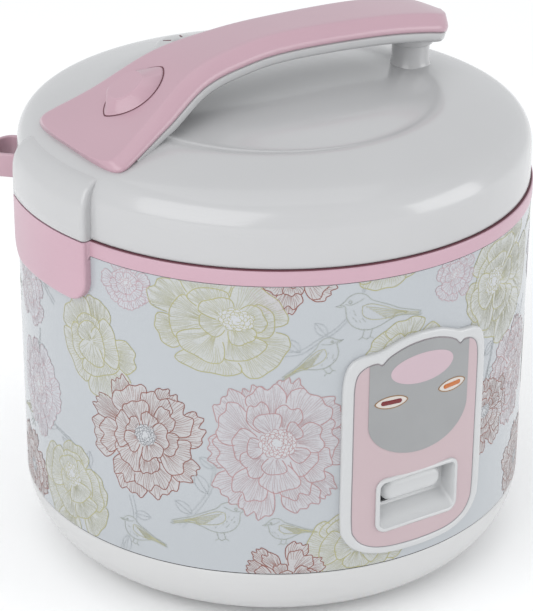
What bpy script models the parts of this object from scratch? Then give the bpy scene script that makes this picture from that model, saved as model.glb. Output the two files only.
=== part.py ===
"""A jar rice cooker with a hinged lid, a fixed carrying handle and a front control panel.

Metres, +Z up. The origin is at the bottom centre, on the body's axis. The control panel faces -Y,
the lid's latch is at -X, its hinge at +X and the power inlet at +Y. Azimuths are in degrees, 0 at -Y
and 90 at +X.
"""

import math

import bmesh
import bpy
from mathutils import Matrix, Vector

# Driving dimensions
BODY_RADIUS = 0.132
GAP = 0.0003  # play between parts that only touch
REACH_THROUGH = 0.001  # how far a cutting solid goes past the wall that it cuts

# Fineness: segments in a turn, the first angle of a rod, and (pitch, first place) of bent plates' slices
SEGMENTS = 40
SMALL_SEGMENTS = 12
ROUND_SEGMENTS = 16
ROD_START = 7.0
PLATE_SLICE = (0.0095, 0.0)
TOOL_SLICE = (0.0087, 0.0023)
LAMP_SLICE = (0.003, 0.0011)

# Base
FOOT_HEIGHT = 0.004
FOOT_RADIUS = 0.009
FOOT_CIRCLE = 0.088
FOOT_CHAMFER = 0.001
BASE_FLAT_RADIUS = 0.100
BASE_TOP = 0.0395
BASE_WALL = 0.002
BASE_FLOOR = 0.0065
BASE_CURVE_POWER = 1.8
SPIGOT_RADIUS = 0.1304
SPIGOT_WALL = 0.0014
SPIGOT_RISE = 0.0055
SPIGOT_ROOT = 0.006
SPIGOT_BLEND = 0.009

# Sleeve and upper ring
SLEEVE_WALL = 0.0012
SLEEVE_TOP = 0.1957
RING_LOW = 0.1960
RING_TOP = 0.2037
RING_RADIUS = 0.1325
RING_STEP_RADIUS = 0.1195
RING_STEP = 0.2022
RING_UNDERSIDE = 0.2003
RING_INNER_RADIUS = 0.1115
TAB_HALF_ANGLE = 15.5
TAB_LOW = 0.171
TAB_RADIUS = 0.1365
TAB_CORNER = 0.012
TAB_INNER = 0.1323
HINGE_TAB_HALF_ANGLE = 12.0

# Latch slot through the ring and the lid liner, and the catch beside it
LATCH_AZIMUTH = -90.0
HINGE_AZIMUTH = 90.0
LATCH_SLOT_X = (-0.1302, -0.1222)
LATCH_SLOT_HALF_WIDTH = 0.009
RING_SLOT_HEIGHTS = (0.188, 0.210)
LINER_SLOT_HEIGHTS = (0.2045, 0.2105)
CATCH_HALF_WIDTH = 0.0075
CATCH_OVERHANG = 0.0016
CATCH_LENGTH = 0.006

# Hinge
HINGE_X = 0.1338
HINGE_Z = 0.2080
HINGE_PIN_RADIUS = 0.0012
HINGE_BORE_RADIUS = 0.00126
HINGE_KNUCKLE_RADIUS = 0.0026
HINGE_KNUCKLE_HALF = 0.0115
HINGE_LUG_LENGTH = 0.010
HINGE_PLAY = 0.0004
HINGE_LUG_SINK = 0.002
HINGE = Vector((HINGE_X, 0.0, HINGE_Z))

# Scoop holder
SCOOP_AZIMUTH = -134.0
SCOOP_LOW = 0.1900
SCOOP_TOP = 0.2030
SCOOP_HALF_WIDTH = 0.0140
SCOOP_MIDDLE = 0.1425
SCOOP_REACH = 0.1520
SCOOP_WALL = 0.0024

# Power inlet, as (x, z) half extents
INLET_Z = 0.064
INLET_HALF = (0.0135, 0.0095)
INLET_WALL = 0.0015
INLET_RIM = 0.0025
INLET_BACK = 0.1165
INLET_SHELL_FRONT = 0.1330
INLET_FLANGE_BACK = 0.1322
INLET_PLAY = 0.0006
PIN_SPACING = 0.007
PIN_RADIUS = 0.0009
PIN_HOLE_RADIUS = 0.0012
PIN_LENGTH = 0.0170
PIN_MIDDLE = 0.1215

# Well, heater and pot
WELL_RADIUS = 0.1105
WELL_WALL = 0.001
WELL_FLOOR = 0.044
WELL_HOLE_RADIUS = 0.0875
PLATE_RADIUS = 0.085
PLATE_LOW = 0.040
PLATE_TOP = 0.0515
PLATE_HOLE_RADIUS = 0.0185
POT_RADIUS = 0.1065
POT_WALL = 0.0015
POT_LOW = 0.0520
POT_CORNER = 0.0185
POT_FLANGE_RADIUS = 0.114
POT_FLANGE_LOW = 0.2025
SIDE_HEATER_HEIGHTS = (0.128, 0.146)
SIDE_HEATER_WALL = 0.0015
WELL_FLANGE_OVERLAP = 0.0015
LEG_CIRCLE = 0.070
LEG_RADIUS = 0.0045
SCREW_RADIUS = 0.0015
SCREW_HEAD_RADIUS = 0.0035
SCREW_HOLE_RADIUS = 0.0018
SCREW_HEAD_HEIGHT = 0.002
SCREW_END = 0.016
LEG_SOCKET_TOP = 0.018

# Sensor, magnet and cooking lever
SENSOR_RADIUS = 0.0165
SENSOR_STEM_RADIUS = 0.006
SENSOR_STEM_LOW = 0.0345
SPRING_RADIUS = 0.0085
SPRING_WIRE = 0.0007
SPRING_TURNS = 4
SENSOR_CAP_HEIGHT = 0.0022
SENSOR_CAP_EDGE = 0.0005
SENSOR_CUP_WALL = 0.0012
SENSOR_CUP_FLOOR = 0.0015
MAGNET_NUB_RADIUS = 0.002
MAGNET_NUB_DROP = 0.0048
MAGNET_NUB_HEIGHT = 0.0014
MAGNET_TOP = 0.030
MAGNET_RADIUS = 0.009
LEVER_PIVOT = Vector((0.0, -0.035, 0.028))
LEVER_STEM_OUTER = -0.1150
LEVER_STEM_INNER = -0.1122
LEVER_FRONT = -0.1235
LEVER_TOE = 0.004
LEVER_TOE_DROP = 0.0068
LEVER_TOE_THICKNESS = 0.0017
LEVER_HUB = 0.0035
LEVER_HALF_WIDTH = 0.005
LEVER_PIN_RADIUS = 0.0012
LEVER_BORE_RADIUS = 0.00126
KNOB_CENTRE_X = -0.004
KNOB_HALF_WIDTH = 0.0162
KNOB_RAISE = 0.0065
KNOB_HALF_HEIGHT = 0.0052
KNOB_CORNER = 0.0042
NECK_HALF_HEIGHT = 0.0012
KNOB_SECTIONS = ((-0.1222, 0.97), (-0.1268, 1.0), (-0.1285, 0.93), (-0.1292, 0.78))  # (y, share of full size)
BRACKET_WALL = 0.0015
BRACKET_PLAY = 0.0010
BRACKET_HALF_LENGTH = 0.006
BRACKET_TOP = 0.004
LEVER_PIN_LENGTH = 0.0178

# Parts in the base, as two corners above its floor, and the lamp board behind the panel
SWITCH_BOX = ((0.012, -0.052), (0.022, -0.030), 0.021)
TERMINAL_BOX = ((-0.016, 0.060), (0.016, 0.076), 0.022)
FUSE_RADIUS = 0.0022
FUSE_LENGTH = 0.018
FUSE_PLACE = (0.040, 0.030)
BOARD_HALF_WIDTH = 0.030
BOARD_FACES = (-0.1225, -0.1209)
BOARD_BELOW_LAMPS = 0.0313
BOARD_ABOVE_LAMPS = 0.016
BULB_RADIUS = 0.0022
BULB_REACH = (0.1229, 0.1290)

# Control panel
PANEL_RADIUS = 0.1345
PANEL_HALF_ANGLE = 18.3
PANEL_LOW = 0.0468
PANEL_SHOULDER = 0.1545
PANEL_NOTCH = 0.1523
PANEL_ARCH = 0.1635
PANEL_NOTCH_ANGLE = 10.3
PANEL_CORNER = 0.008
PANEL_RIM = 0.0032
FACE_FLOOR = 0.1330
FACE_RADIUS = 0.1340
BADGE_HALF_ANGLE = 12.7
BADGE_MARGIN = 0.0020
BADGE_SIDE_LOW = 0.119
BADGE_LOW = 0.0995
BADGE_RADIUS = 0.1344
WINDOW_HALF_WIDTH = 0.0226
WINDOW_LOW = 0.0600
WINDOW_TOP = 0.0870
WINDOW_CORNER = 0.004
WINDOW_WALL = 0.0015
RECESS_BACK = 0.1193
RECESS_FRONT = 0.1344
LAMP_ANGLES = {"cook": -7.7, "warm": 7.85}
LAMP_HEIGHT = 0.1303
LAMP_HALF_SIZE = (0.0056, 0.0020)
LENS_BACK = 0.1312

# Lid
LID_LOW = 0.2042
LID_WALL = 0.0022
LID_PROFILE = ((0.0, 0.2495), (0.0567, 0.2464), (0.0988, 0.2420), (0.1231, 0.2358), (0.1300, 0.2300))
LID_RADIUS = 0.131
LID_SKIRT_TOP = 0.2260
LINER_RADIUS = 0.1282
LINER_LOW = 0.2060
LINER_STEP_RADIUS = 0.1145
LINER_TOP = 0.2150
LINER_WALL = 0.0018
INNER_LID_LOW = 0.2102
INNER_LID_WALL = 0.0008
INNER_LID_RADIUS = 0.1070
VENT_CENTRE = (-0.004, 0.082)
VENT_RADIUS = 0.016
VENT_TUBE_RADIUS = 0.006
VENT_TOP = 0.2468
VENT_LOW = 0.2420
VENT_TUBE_LOW = 0.21245
VENT_TUBE_WALL = 0.0013
VENT_SLOT_PITCH = 0.0035
VENT_SLOT_HALF = (0.0008, 0.004)
VENT_SLOT_LOW = 0.2430
INNER_LID_HOLE = 0.0045
INNER_LID_STEP_RADIUS = 0.094
INNER_LID_EDGE_DROP = 0.0016
STEAM_HOLE_RADIUS = 0.002
STEAM_HOLE_PITCH = 0.014

# Latch boss on the lid's front: an upright face, an elliptic shoulder and its end on the lid
BOSS_SHOULDER = 0.2215
BOSS_ARC_CENTRE = (0.1300, 0.2235)
BOSS_ARC_RADII = (0.0063, 0.0095)
BOSS_END = (0.1272, 0.2315)

# Knob of the inner lid, as a turned profile from its underside to the snap at its top
LID_KNOB = ((0.0, 0.2050), (0.009, 0.2050), (0.011, 0.2065), (0.011, INNER_LID_LOW - GAP),
            (0.0040, INNER_LID_LOW - GAP), (0.0040, LINER_TOP + LINER_WALL + GAP),
            (0.0056, LINER_TOP + LINER_WALL + GAP), (0.0040, 0.2195), (0.0, 0.2195))

# Handle: crest points from the latch end to the hinge end, and half widths at some of them
HANDLE_CREST = ((-0.1175, 0.2380), (-0.1080, 0.2445), (-0.0900, 0.2545), (-0.0600, 0.2713),
                (-0.0300, 0.2777), (0.0, 0.2798), (0.0500, 0.2786), (0.0850, 0.2747), (0.1030, 0.2695))
HANDLE_HALF_WIDTHS = ((-0.1175, 0.0400), (-0.1080, 0.0372), (-0.0900, 0.0317), (-0.0600, 0.0242),
                      (-0.0300, 0.0201), (0.0, 0.0187), (0.0500, 0.0203), (0.0850, 0.0214), (0.1030, 0.0214))
HANDLE_FRONT_ROUND = -0.106
HANDLE_REAR_ROUND = 0.086
HANDLE_STATIONS = 20
GRIP_DEPTH = 0.007
GRIP_BEVEL = 0.0055
GRIP_WALL = 0.0022
GRIP_PROFILE = ((GRIP_BEVEL, 0.0), (0.0, GRIP_BEVEL), (0.0006, GRIP_DEPTH))
HOLLOW_PROFILE = ((GRIP_BEVEL, GRIP_WALL), (0.0, GRIP_BEVEL + 0.001), (0.0, GRIP_DEPTH + 0.004))
HOLLOW_ENDS = (-0.112, 0.1005)
UNDERSIDE_DEPTH = 0.0035
UNDERSIDE_PROFILE = ((0.0008, GRIP_DEPTH + GAP), (0.0030, GRIP_DEPTH + UNDERSIDE_DEPTH))
SLOPE_STEP = 0.001
THINNEST_HALF = 0.002
TOOL_HEIGHTS = (0.235, 0.29)
PILLAR_X = 0.0850
PILLAR_RADIUS = 0.0115
PILLAR_PROFILE = ((0.0, 0.236), (PILLAR_RADIUS + 0.003, 0.236), (PILLAR_RADIUS + 0.001, 0.2455),
                  (PILLAR_RADIUS, 0.2500), (PILLAR_RADIUS, 0.2655), (0.0, 0.2655))
HANDLE_SCREW_HEIGHTS = (0.2370, 0.2390, 0.2520)

# Release button and latch lever
BUTTON_CENTRE_X = -0.0808
BUTTON_HALF_LENGTH = 0.0168
BUTTON_HALF_WIDTH = 0.0130
BUTTON_RISE = 0.0042
BUTTON_SKIRT = 0.0040
BUTTON_ROWS = ((1.0, -BUTTON_SKIRT), (1.0, 0.0006), (0.62, BUTTON_RISE), (0.20, BUTTON_RISE + 0.0004))
UNDERSIDE_CLEARANCE = 0.0015
BUTTON_STEM_RADIUS = 0.0025
BUTTON_STEM_LOW = 0.2302
LATCH_PIVOT = Vector((-0.112, 0.0, 0.2255))
LATCH_HALF_WIDTH = 0.006
LATCH_THICKNESS = 0.002
LATCH_HOOK_LOW = 0.1945
LATCH_HOOK_X = -0.1262
LATCH_BORE_RADIUS = 0.00126
LATCH_PIN_RADIUS = 0.0012
LATCH_PIN_LENGTH = 0.0180
LATCH_EAR_HALF = (0.003, 0.0012)
LATCH_EAR_PLAY = 0.0006
LATCH_EAR_TOP = 0.2375


def clear_scene():
    """Start from an empty scene."""
    for old in list(bpy.data.objects):
        bpy.data.objects.remove(old)


def material(name, colour, roughness=0.35, metallic=0.0):
    """A plain named material, whose name is the record's material slot."""
    made = bpy.data.materials.new(name)
    made.use_nodes = True
    shader = made.node_tree.nodes["Principled BSDF"]
    shader.inputs["Base Color"].default_value = (*colour, 1.0)
    shader.inputs["Roughness"].default_value = roughness
    shader.inputs["Metallic"].default_value = metallic
    return made


def add_piece(name, shape, finish, pivot=None):
    """Makes an object from a bmesh in world coordinates, with its origin at the pivot."""
    bmesh.ops.recalc_face_normals(shape, faces=shape.faces)
    mesh = bpy.data.meshes.new(name)
    shape.to_mesh(mesh)
    shape.free()
    piece = bpy.data.objects.new(name, mesh)
    bpy.context.scene.collection.objects.link(piece)
    if pivot is not None:
        mesh.transform(Matrix.Translation(-Vector(pivot)))
        piece.location = pivot
    mesh.materials.append(finish)
    mesh.shade_smooth()
    mesh.set_sharp_from_angle(angle=math.radians(35))
    return piece


def hide_tool(tool):
    """Remove a cutting or joining solid once it has been used."""
    tool.hide_render = True
    tool.display_type = "WIRE"


def combine(piece, tool, operation):
    """Run one exact Boolean between two pieces."""
    step = piece.modifiers.new(operation.lower(), "BOOLEAN")
    step.operation = operation
    step.solver = "EXACT"
    step.object = tool
    hide_tool(tool)


def cut(piece, tool):
    """Take a tool away from a piece."""
    combine(piece, tool, "DIFFERENCE")


def join(piece, tool):
    """Add a piece to another, as one solid."""
    combine(piece, tool, "UNION")


def polar(radius, azimuth, z=0.0):
    """Point at a radius and an azimuth, which is 0 at the panel and grows towards +X."""
    angle = math.radians(azimuth)
    return Vector((radius * math.sin(angle), -radius * math.cos(angle), z))


def smooth_path(points, steps):
    """Catmull-Rom curve through 2-D points, with the given steps per span."""
    ends = [points[0], *points, points[-1]]
    path = []
    for before, start, end, after in zip(ends, ends[1:], ends[2:], ends[3:]):
        for k in range(steps):
            t = k / steps
            path.append(tuple(
                0.5 * (2 * b + (c - a) * t + (2 * a - 5 * b + 4 * c - d) * t * t
                       + (3 * b - a - 3 * c + d) * t ** 3)
                for a, b, c, d in zip(before, start, end, after)))
    path.append(tuple(points[-1]))
    return path


def interpolate(table, x):
    """Smooth value at x of a short table of (x, value) pairs."""
    path = smooth_path(table, 8)
    for (x0, value0), (x1, value1) in zip(path, path[1:]):
        if x <= x1:
            return value0 + (value1 - value0) * max(0.0, x - x0) / (x1 - x0)
    return path[-1][1]


def arc(centre, radius, start, end, steps):
    """Points on an arc in a 2-D plane, angles in degrees; radius may be a pair for an ellipse."""
    wide, high = radius if isinstance(radius, tuple) else (radius, radius)
    angles = [math.radians(start + (end - start) * k / steps) for k in range(steps + 1)]
    return [(centre[0] + wide * math.cos(a), centre[1] + high * math.sin(a)) for a in angles]


def rounded_rectangle(left, right, low, top, corner, steps=4):
    """Outline of a rectangle with round corners."""
    return (arc((right - corner, low + corner), corner, -90, 0, steps)
            + arc((right - corner, top - corner), corner, 0, 90, steps)
            + arc((left + corner, top - corner), corner, 90, 180, steps)
            + arc((left + corner, low + corner), corner, 180, 270, steps))


def turned(outline, segments=SEGMENTS, start=0.0, sweep=360.0, centre=(0.0, 0.0, 0.0)):
    """Solid turned about +Z from a closed (radius, z) outline; a part turn gets flat end faces."""
    shape = bmesh.new()
    whole = sweep >= 360.0
    count = segments if whole else segments + 1
    rings = []
    for k in range(count):
        ring = []
        for r, z in outline:
            if r == 0.0 and k > 0:
                ring.append(rings[0][len(ring)])
            else:
                ring.append(shape.verts.new(polar(r, start + sweep * k / segments, z) + Vector(centre)))
        rings.append(ring)
    pairs = list(zip(rings, rings[1:] + ([rings[0]] if whole else [])))
    for ring, following in pairs:
        for i in range(len(outline)):
            j = (i + 1) % len(outline)
            corners = [ring[i], ring[j], following[j], following[i]]
            corners = [c for n, c in enumerate(corners) if c not in corners[:n]]
            if len(corners) > 2:
                shape.faces.new(corners)
    if not whole:
        shape.faces.new(rings[0])
        shape.faces.new(rings[-1])
    return shape


def along_axis(shape, axis, centre):
    """Turns a solid made about +Z so that it lies along another axis at a centre."""
    turn = Vector((0, 0, 1)).rotation_difference(Vector(axis)).to_matrix().to_4x4()
    bmesh.ops.transform(shape, matrix=Matrix.Translation(Vector(centre)) @ turn, verts=shape.verts)
    return shape


def rod(radius, length, axis=(0, 0, 1), centre=(0, 0, 0), segments=SMALL_SEGMENTS):
    """Round rod about a centre, along an axis."""
    half = length / 2
    outline = [(0.0, -half), (radius, -half), (radius, half), (0.0, half)]
    return along_axis(turned(outline, segments, ROD_START), axis, centre)


def rod_between(radius, low, high, centre):
    """Upright rod from one height to another about an (x, y) centre."""
    return rod(radius, high - low, centre=(*centre, (low + high) / 2))


def block(low, high):
    """Rectangular block between two corners."""
    shape = bmesh.new()
    size = Vector(high) - Vector(low)
    middle = (Vector(high) + Vector(low)) / 2
    bmesh.ops.create_cube(shape, size=1.0, matrix=Matrix.Translation(middle) @ Matrix.Diagonal((*size, 1.0)))
    return shape


def lofted(sections):
    """Solid through a list of rings of points, with a face on each end."""
    shape = bmesh.new()
    rings = [[shape.verts.new(point) for point in section] for section in sections]
    for ring, following in zip(rings, rings[1:]):
        for i in range(len(ring)):
            j = (i + 1) % len(ring)
            shape.faces.new((ring[i], ring[j], following[j], following[i]))
    shape.faces.new(rings[0])
    shape.faces.new(rings[-1])
    return shape


def prism(outline, low, high):
    """Upright prism of an (x, y) outline."""
    return lofted([[(x, y, z) for x, y in outline] for z in (low, high)])


def side_prism(outline, low, high):
    """Prism of a (y, z) outline, from x = low to x = high."""
    return lofted([[(x, y, z) for y, z in outline] for x in (low, high)])


def end_prism(outline, low, high):
    """Prism of an (x, z) outline, from y = low to y = high."""
    return lofted([[(x, y, z) for x, z in outline] for y in (low, high)])


def wrapped(outline, inner, outer, azimuth=0.0, slices=PLATE_SLICE):
    """Plate bent round the body: an outline in (arc length, z), between two radii.

    It is sliced upright so that it can bend; slices gives their pitch and their first place.
    """
    sheet = bmesh.new()
    sheet.faces.new([sheet.verts.new((u, 0.0, z)) for u, z in outline])
    reach = max(abs(u) for u, z in outline)
    pitch, first = slices
    half_slices = int(reach / pitch) + 1
    for k in range(-half_slices, half_slices + 1):
        everything = sheet.verts[:] + sheet.edges[:] + sheet.faces[:]
        bmesh.ops.bisect_plane(sheet, geom=everything, dist=1e-6, plane_co=(first + k * pitch, 0, 0),
                               plane_no=(1, 0, 0))
    shape = bmesh.new()
    sides = []
    for radius in (inner, outer):
        sides.append({v: shape.verts.new(polar(radius, azimuth + math.degrees(v.co.x / BODY_RADIUS), v.co.z))
                      for v in sheet.verts})
    for side in sides:
        for face in sheet.faces:
            shape.faces.new([side[v] for v in face.verts])
    for edge in sheet.edges:
        if len(edge.link_faces) == 1:
            a, b = edge.verts
            shape.faces.new((sides[0][a], sides[0][b], sides[1][b], sides[1][a]))
    sheet.free()
    bmesh.ops.triangulate(shape, faces=shape.faces)
    return shape


def arc_length(angle):
    """Distance round the sleeve for an azimuth."""
    return math.radians(angle) * BODY_RADIUS


def coil(radius, wire, turns, low, high, steps_per_turn=8, sides=5):
    """Helical spring about the Z axis."""
    total = turns * steps_per_turn
    sections = []
    for k in range(total + 1):
        turn = 2 * math.pi * k / steps_per_turn
        z = low + wire + (high - low - 2 * wire) * k / total
        outward = Vector((math.cos(turn), math.sin(turn), 0.0))
        sections.append([
            outward * (radius + wire * math.cos(2 * math.pi * n / sides))
            + Vector((0, 0, z + wire * math.sin(2 * math.pi * n / sides))) for n in range(sides)])
    return lofted(sections)


# Profiles


def base_curve(wall=0.0, steps=5):
    """The base's rounded side, from its flat bottom to its top edge, moved inwards by a wall."""
    wide = BODY_RADIUS - BASE_FLAT_RADIUS - wall
    tall = BASE_TOP - FOOT_HEIGHT - wall
    points = []
    for k in range(steps + 1):
        t = math.pi / 2 * k / steps
        r = BASE_FLAT_RADIUS + wide * math.sin(t) ** (2 / BASE_CURVE_POWER)
        z = BASE_TOP - tall * math.cos(t) ** (2 / BASE_CURVE_POWER)
        points.append((r, z))
    return points


def lid_curve(outward=0.0):
    """The lid's outer profile from its centre to the top of its skirt, moved outwards."""
    path = smooth_path([*LID_PROFILE, (LID_RADIUS, LID_SKIRT_TOP)], 2)
    moved = []
    for k, (r, z) in enumerate(path):
        before = path[max(k - 1, 0)]
        after = path[min(k + 1, len(path) - 1)]
        dr, dz = after[0] - before[0], after[1] - before[1]
        length = math.hypot(dr, dz)
        moved.append((max(0.0, r - dz / length * outward) if r else 0.0, z + dr / length * outward))
    return moved


def lid_space(clearance):
    """Solid that fills the lid's outside, for trimming what stands on it."""
    return turned([*lid_curve(clearance), (LID_RADIUS + clearance, LID_LOW), (0.0, LID_LOW)])


def tab_outline(half, low, top, corner):
    """A tab with a straight top edge and round lower corners."""
    return [*arc((half - corner, low + corner), corner, -90, 0, 5), (half, top), (-half, top),
            *arc((corner - half, low + corner), corner, 180, 270, 5)]


# Base and body


def make_base(white, rubber, steel):
    """Base cup with its spigot, four feet and three screws."""
    inner = base_curve(BASE_WALL)[::-1]
    inner_spigot = SPIGOT_RADIUS - SPIGOT_WALL
    outline = [(0.0, FOOT_HEIGHT), *base_curve(),
               (SPIGOT_RADIUS, BASE_TOP), (SPIGOT_RADIUS, BASE_TOP + SPIGOT_RISE),
               (inner_spigot, BASE_TOP + SPIGOT_RISE), (inner_spigot, BASE_TOP - SPIGOT_ROOT),
               *[(r, z) for r, z in inner if BASE_FLOOR < z < BASE_TOP - SPIGOT_BLEND],
               (BASE_FLAT_RADIUS, BASE_FLOOR), (0.0, BASE_FLOOR)]
    base = add_piece("base_cup", turned(outline), white)
    for k in range(4):
        centre = polar(FOOT_CIRCLE, 45 + 90 * k)
        foot = [(0.0, 0.0), (FOOT_RADIUS - FOOT_CHAMFER, 0.0), (FOOT_RADIUS, FOOT_CHAMFER),
                (FOOT_RADIUS, FOOT_HEIGHT - GAP), (0.0, FOOT_HEIGHT - GAP)]
        add_piece(f"foot_{k + 1}", turned(foot, SMALL_SEGMENTS, centre=centre), rubber)
    for k in range(3):
        make_leg(k, base, steel)


def make_leg(k, base, steel):
    """One leg between the base and the heating plate."""
    centre = polar(LEG_CIRCLE, 90 + 120 * k)
    leg = [(0.0, LEG_SOCKET_TOP), (SCREW_HOLE_RADIUS, LEG_SOCKET_TOP), (SCREW_HOLE_RADIUS, BASE_FLOOR + GAP),
           (LEG_RADIUS, BASE_FLOOR + GAP), (LEG_RADIUS, PLATE_LOW - GAP), (0.0, PLATE_LOW - GAP)]
    add_piece(f"heater_leg_{k + 1}", turned(leg, SMALL_SEGMENTS, centre=centre), steel)
    head_top = FOOT_HEIGHT - GAP
    half_head = SCREW_HEAD_HEIGHT / 2
    screw = [(0.0, head_top - SCREW_HEAD_HEIGHT), (SCREW_HEAD_RADIUS - half_head, head_top - SCREW_HEAD_HEIGHT),
             (SCREW_HEAD_RADIUS, head_top - half_head), (SCREW_HEAD_RADIUS, head_top),
             (SCREW_RADIUS, head_top), (SCREW_RADIUS, SCREW_END), (0.0, SCREW_END)]
    add_piece(f"base_screw_{k + 1}", turned(screw, SMALL_SEGMENTS, centre=centre), steel)
    hole = rod(SCREW_HOLE_RADIUS, 0.010, centre=centre + Vector((0, 0, FOOT_HEIGHT)))
    cut(base, add_piece(f"screw_hole_{k + 1}", hole, steel))


def make_sleeve(printed, pink, steel):
    """Sheet-metal sleeve with its lever and inlet openings."""
    low = BASE_TOP + GAP
    outline = [(BODY_RADIUS - SLEEVE_WALL, low), (BODY_RADIUS, low),
               (BODY_RADIUS, SLEEVE_TOP), (BODY_RADIUS - SLEEVE_WALL, SLEEVE_TOP)]
    sleeve = add_piece("body_sleeve", turned(outline), printed)
    window = end_prism(window_outline(WINDOW_WALL + GAP), -0.140, -0.120)
    cut(sleeve, add_piece("sleeve_window", window, steel))
    wide, tall = (half + INLET_PLAY for half in INLET_HALF)
    inlet = block((-wide, 0.120, INLET_Z - tall), (wide, 0.140, INLET_Z + tall))
    cut(sleeve, add_piece("sleeve_inlet_hole", inlet, steel))
    make_scoop_holder(pink)


def make_ring(pink, steel):
    """Upper ring with the latch tab, the hinge lugs, the latch slot and the catch."""
    outline = [(RING_INNER_RADIUS, RING_STEP), (RING_STEP_RADIUS, RING_STEP), (RING_STEP_RADIUS, RING_TOP),
               (RING_RADIUS, RING_TOP), (RING_RADIUS, RING_LOW), (SPIGOT_RADIUS, RING_LOW),
               (SPIGOT_RADIUS, RING_LOW - SPIGOT_RISE), (SPIGOT_RADIUS - SPIGOT_WALL, RING_LOW - SPIGOT_RISE),
               (SPIGOT_RADIUS - SPIGOT_WALL, RING_UNDERSIDE),
               (RING_INNER_RADIUS + WELL_FLANGE_OVERLAP, RING_UNDERSIDE),
               (RING_INNER_RADIUS + WELL_FLANGE_OVERLAP, RING_LOW), (RING_INNER_RADIUS, RING_LOW)]
    ring = add_piece("upper_ring", turned(outline), pink)
    latch_tab = tab_outline(arc_length(TAB_HALF_ANGLE), TAB_LOW, RING_TOP, TAB_CORNER)
    join(ring, add_piece("latch_tab", wrapped(latch_tab, TAB_INNER, TAB_RADIUS, LATCH_AZIMUTH), pink))
    hinge_tab = tab_outline(arc_length(HINGE_TAB_HALF_ANGLE), TAB_LOW, RING_TOP, TAB_CORNER)
    join(ring, add_piece("hinge_tab", wrapped(hinge_tab, TAB_INNER, TAB_RADIUS, HINGE_AZIMUTH), pink))
    for side in (-1, 1):
        start = HINGE_KNUCKLE_HALF + HINGE_PLAY
        join(ring, add_piece(f"hinge_lug_{side + 2}", hinge_lug(side * start, side * (start + HINGE_LUG_LENGTH)),
                             pink))
    bore = rod(HINGE_BORE_RADIUS, 0.06, (0, 1, 0), (HINGE_X, 0, HINGE_Z))
    cut(ring, add_piece("hinge_bore", bore, steel))
    slot = block((LATCH_SLOT_X[0], -LATCH_SLOT_HALF_WIDTH, RING_SLOT_HEIGHTS[0]),
                 (LATCH_SLOT_X[1], LATCH_SLOT_HALF_WIDTH, RING_SLOT_HEIGHTS[1]))
    cut(ring, add_piece("ring_latch_slot", slot, steel))
    catch = block((LATCH_SLOT_X[1] - CATCH_OVERHANG, -CATCH_HALF_WIDTH, RING_UNDERSIDE - CATCH_OVERHANG),
                  (LATCH_SLOT_X[1] + CATCH_LENGTH, CATCH_HALF_WIDTH, RING_UNDERSIDE - GAP))
    add_piece("latch_catch", catch, steel)


def hinge_lug(start, end):
    """A round-topped lug that holds the hinge pin, standing on the ring."""
    outline = [(HINGE_X - HINGE_KNUCKLE_RADIUS, RING_TOP - HINGE_LUG_SINK),
               *arc((HINGE_X, HINGE_Z), HINGE_KNUCKLE_RADIUS, 180, 0, 8),
               (HINGE_X + HINGE_KNUCKLE_RADIUS, RING_TOP - HINGE_LUG_SINK)]
    return end_prism(outline, min(start, end), max(start, end))


def scoop_loop(half_width, reach, low, high, inner):
    """A D-shaped upright prism standing out from the body at the scoop holder's azimuth."""
    outline = [(-half_width, -inner), (-half_width, -SCOOP_MIDDLE),
               *arc((0.0, -SCOOP_MIDDLE), (half_width, reach - SCOOP_MIDDLE), 180, 360, 8)[1:-1],
               (half_width, -SCOOP_MIDDLE), (half_width, -inner)]
    loop = prism(outline, low, high)
    turn = Matrix.Rotation(math.radians(SCOOP_AZIMUTH), 4, "Z")
    bmesh.ops.transform(loop, matrix=turn, verts=loop.verts)
    return loop


def make_scoop_holder(pink):
    """A loop on the ring's side that holds the rice scoop upright."""
    inner = RING_RADIUS + GAP
    loop = scoop_loop(SCOOP_HALF_WIDTH, SCOOP_REACH, SCOOP_LOW, SCOOP_TOP, inner - 0.002)
    holder = add_piece("scoop_holder", loop, pink)
    hole = scoop_loop(SCOOP_HALF_WIDTH - SCOOP_WALL, SCOOP_REACH - SCOOP_WALL, SCOOP_LOW - 0.001,
                      SCOOP_TOP + 0.001, inner + SCOOP_WALL)
    cut(holder, add_piece("scoop_hole", hole, pink))
    body = turned([(0.0, SCOOP_LOW - 0.005), (inner, SCOOP_LOW - 0.005),
                   (inner, SCOOP_TOP + 0.005), (0.0, SCOOP_TOP + 0.005)])
    cut(holder, add_piece("scoop_seat", body, pink))


# Well, heater, pot and controls inside


def make_well(steel, band):
    """Well that holds the pot, and the heater band round it."""
    inner = WELL_RADIUS - WELL_WALL
    flange_top = RING_LOW - GAP
    outline = [(inner, flange_top), (RING_INNER_RADIUS + WELL_FLANGE_OVERLAP, flange_top),
               (RING_INNER_RADIUS + WELL_FLANGE_OVERLAP, flange_top - WELL_WALL),
               (WELL_RADIUS, flange_top - WELL_WALL),
               (WELL_RADIUS, WELL_FLOOR), (WELL_HOLE_RADIUS, WELL_FLOOR),
               (WELL_HOLE_RADIUS, WELL_FLOOR + WELL_WALL), (inner, WELL_FLOOR + WELL_WALL)]
    add_piece("well_liner", turned(outline), steel)
    near = WELL_RADIUS + GAP
    far = near + SIDE_HEATER_WALL
    low, top = SIDE_HEATER_HEIGHTS
    heater = [(near, low), (far, low), (far, top), (near, top)]
    add_piece("side_heater", turned(heater), band)


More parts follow.
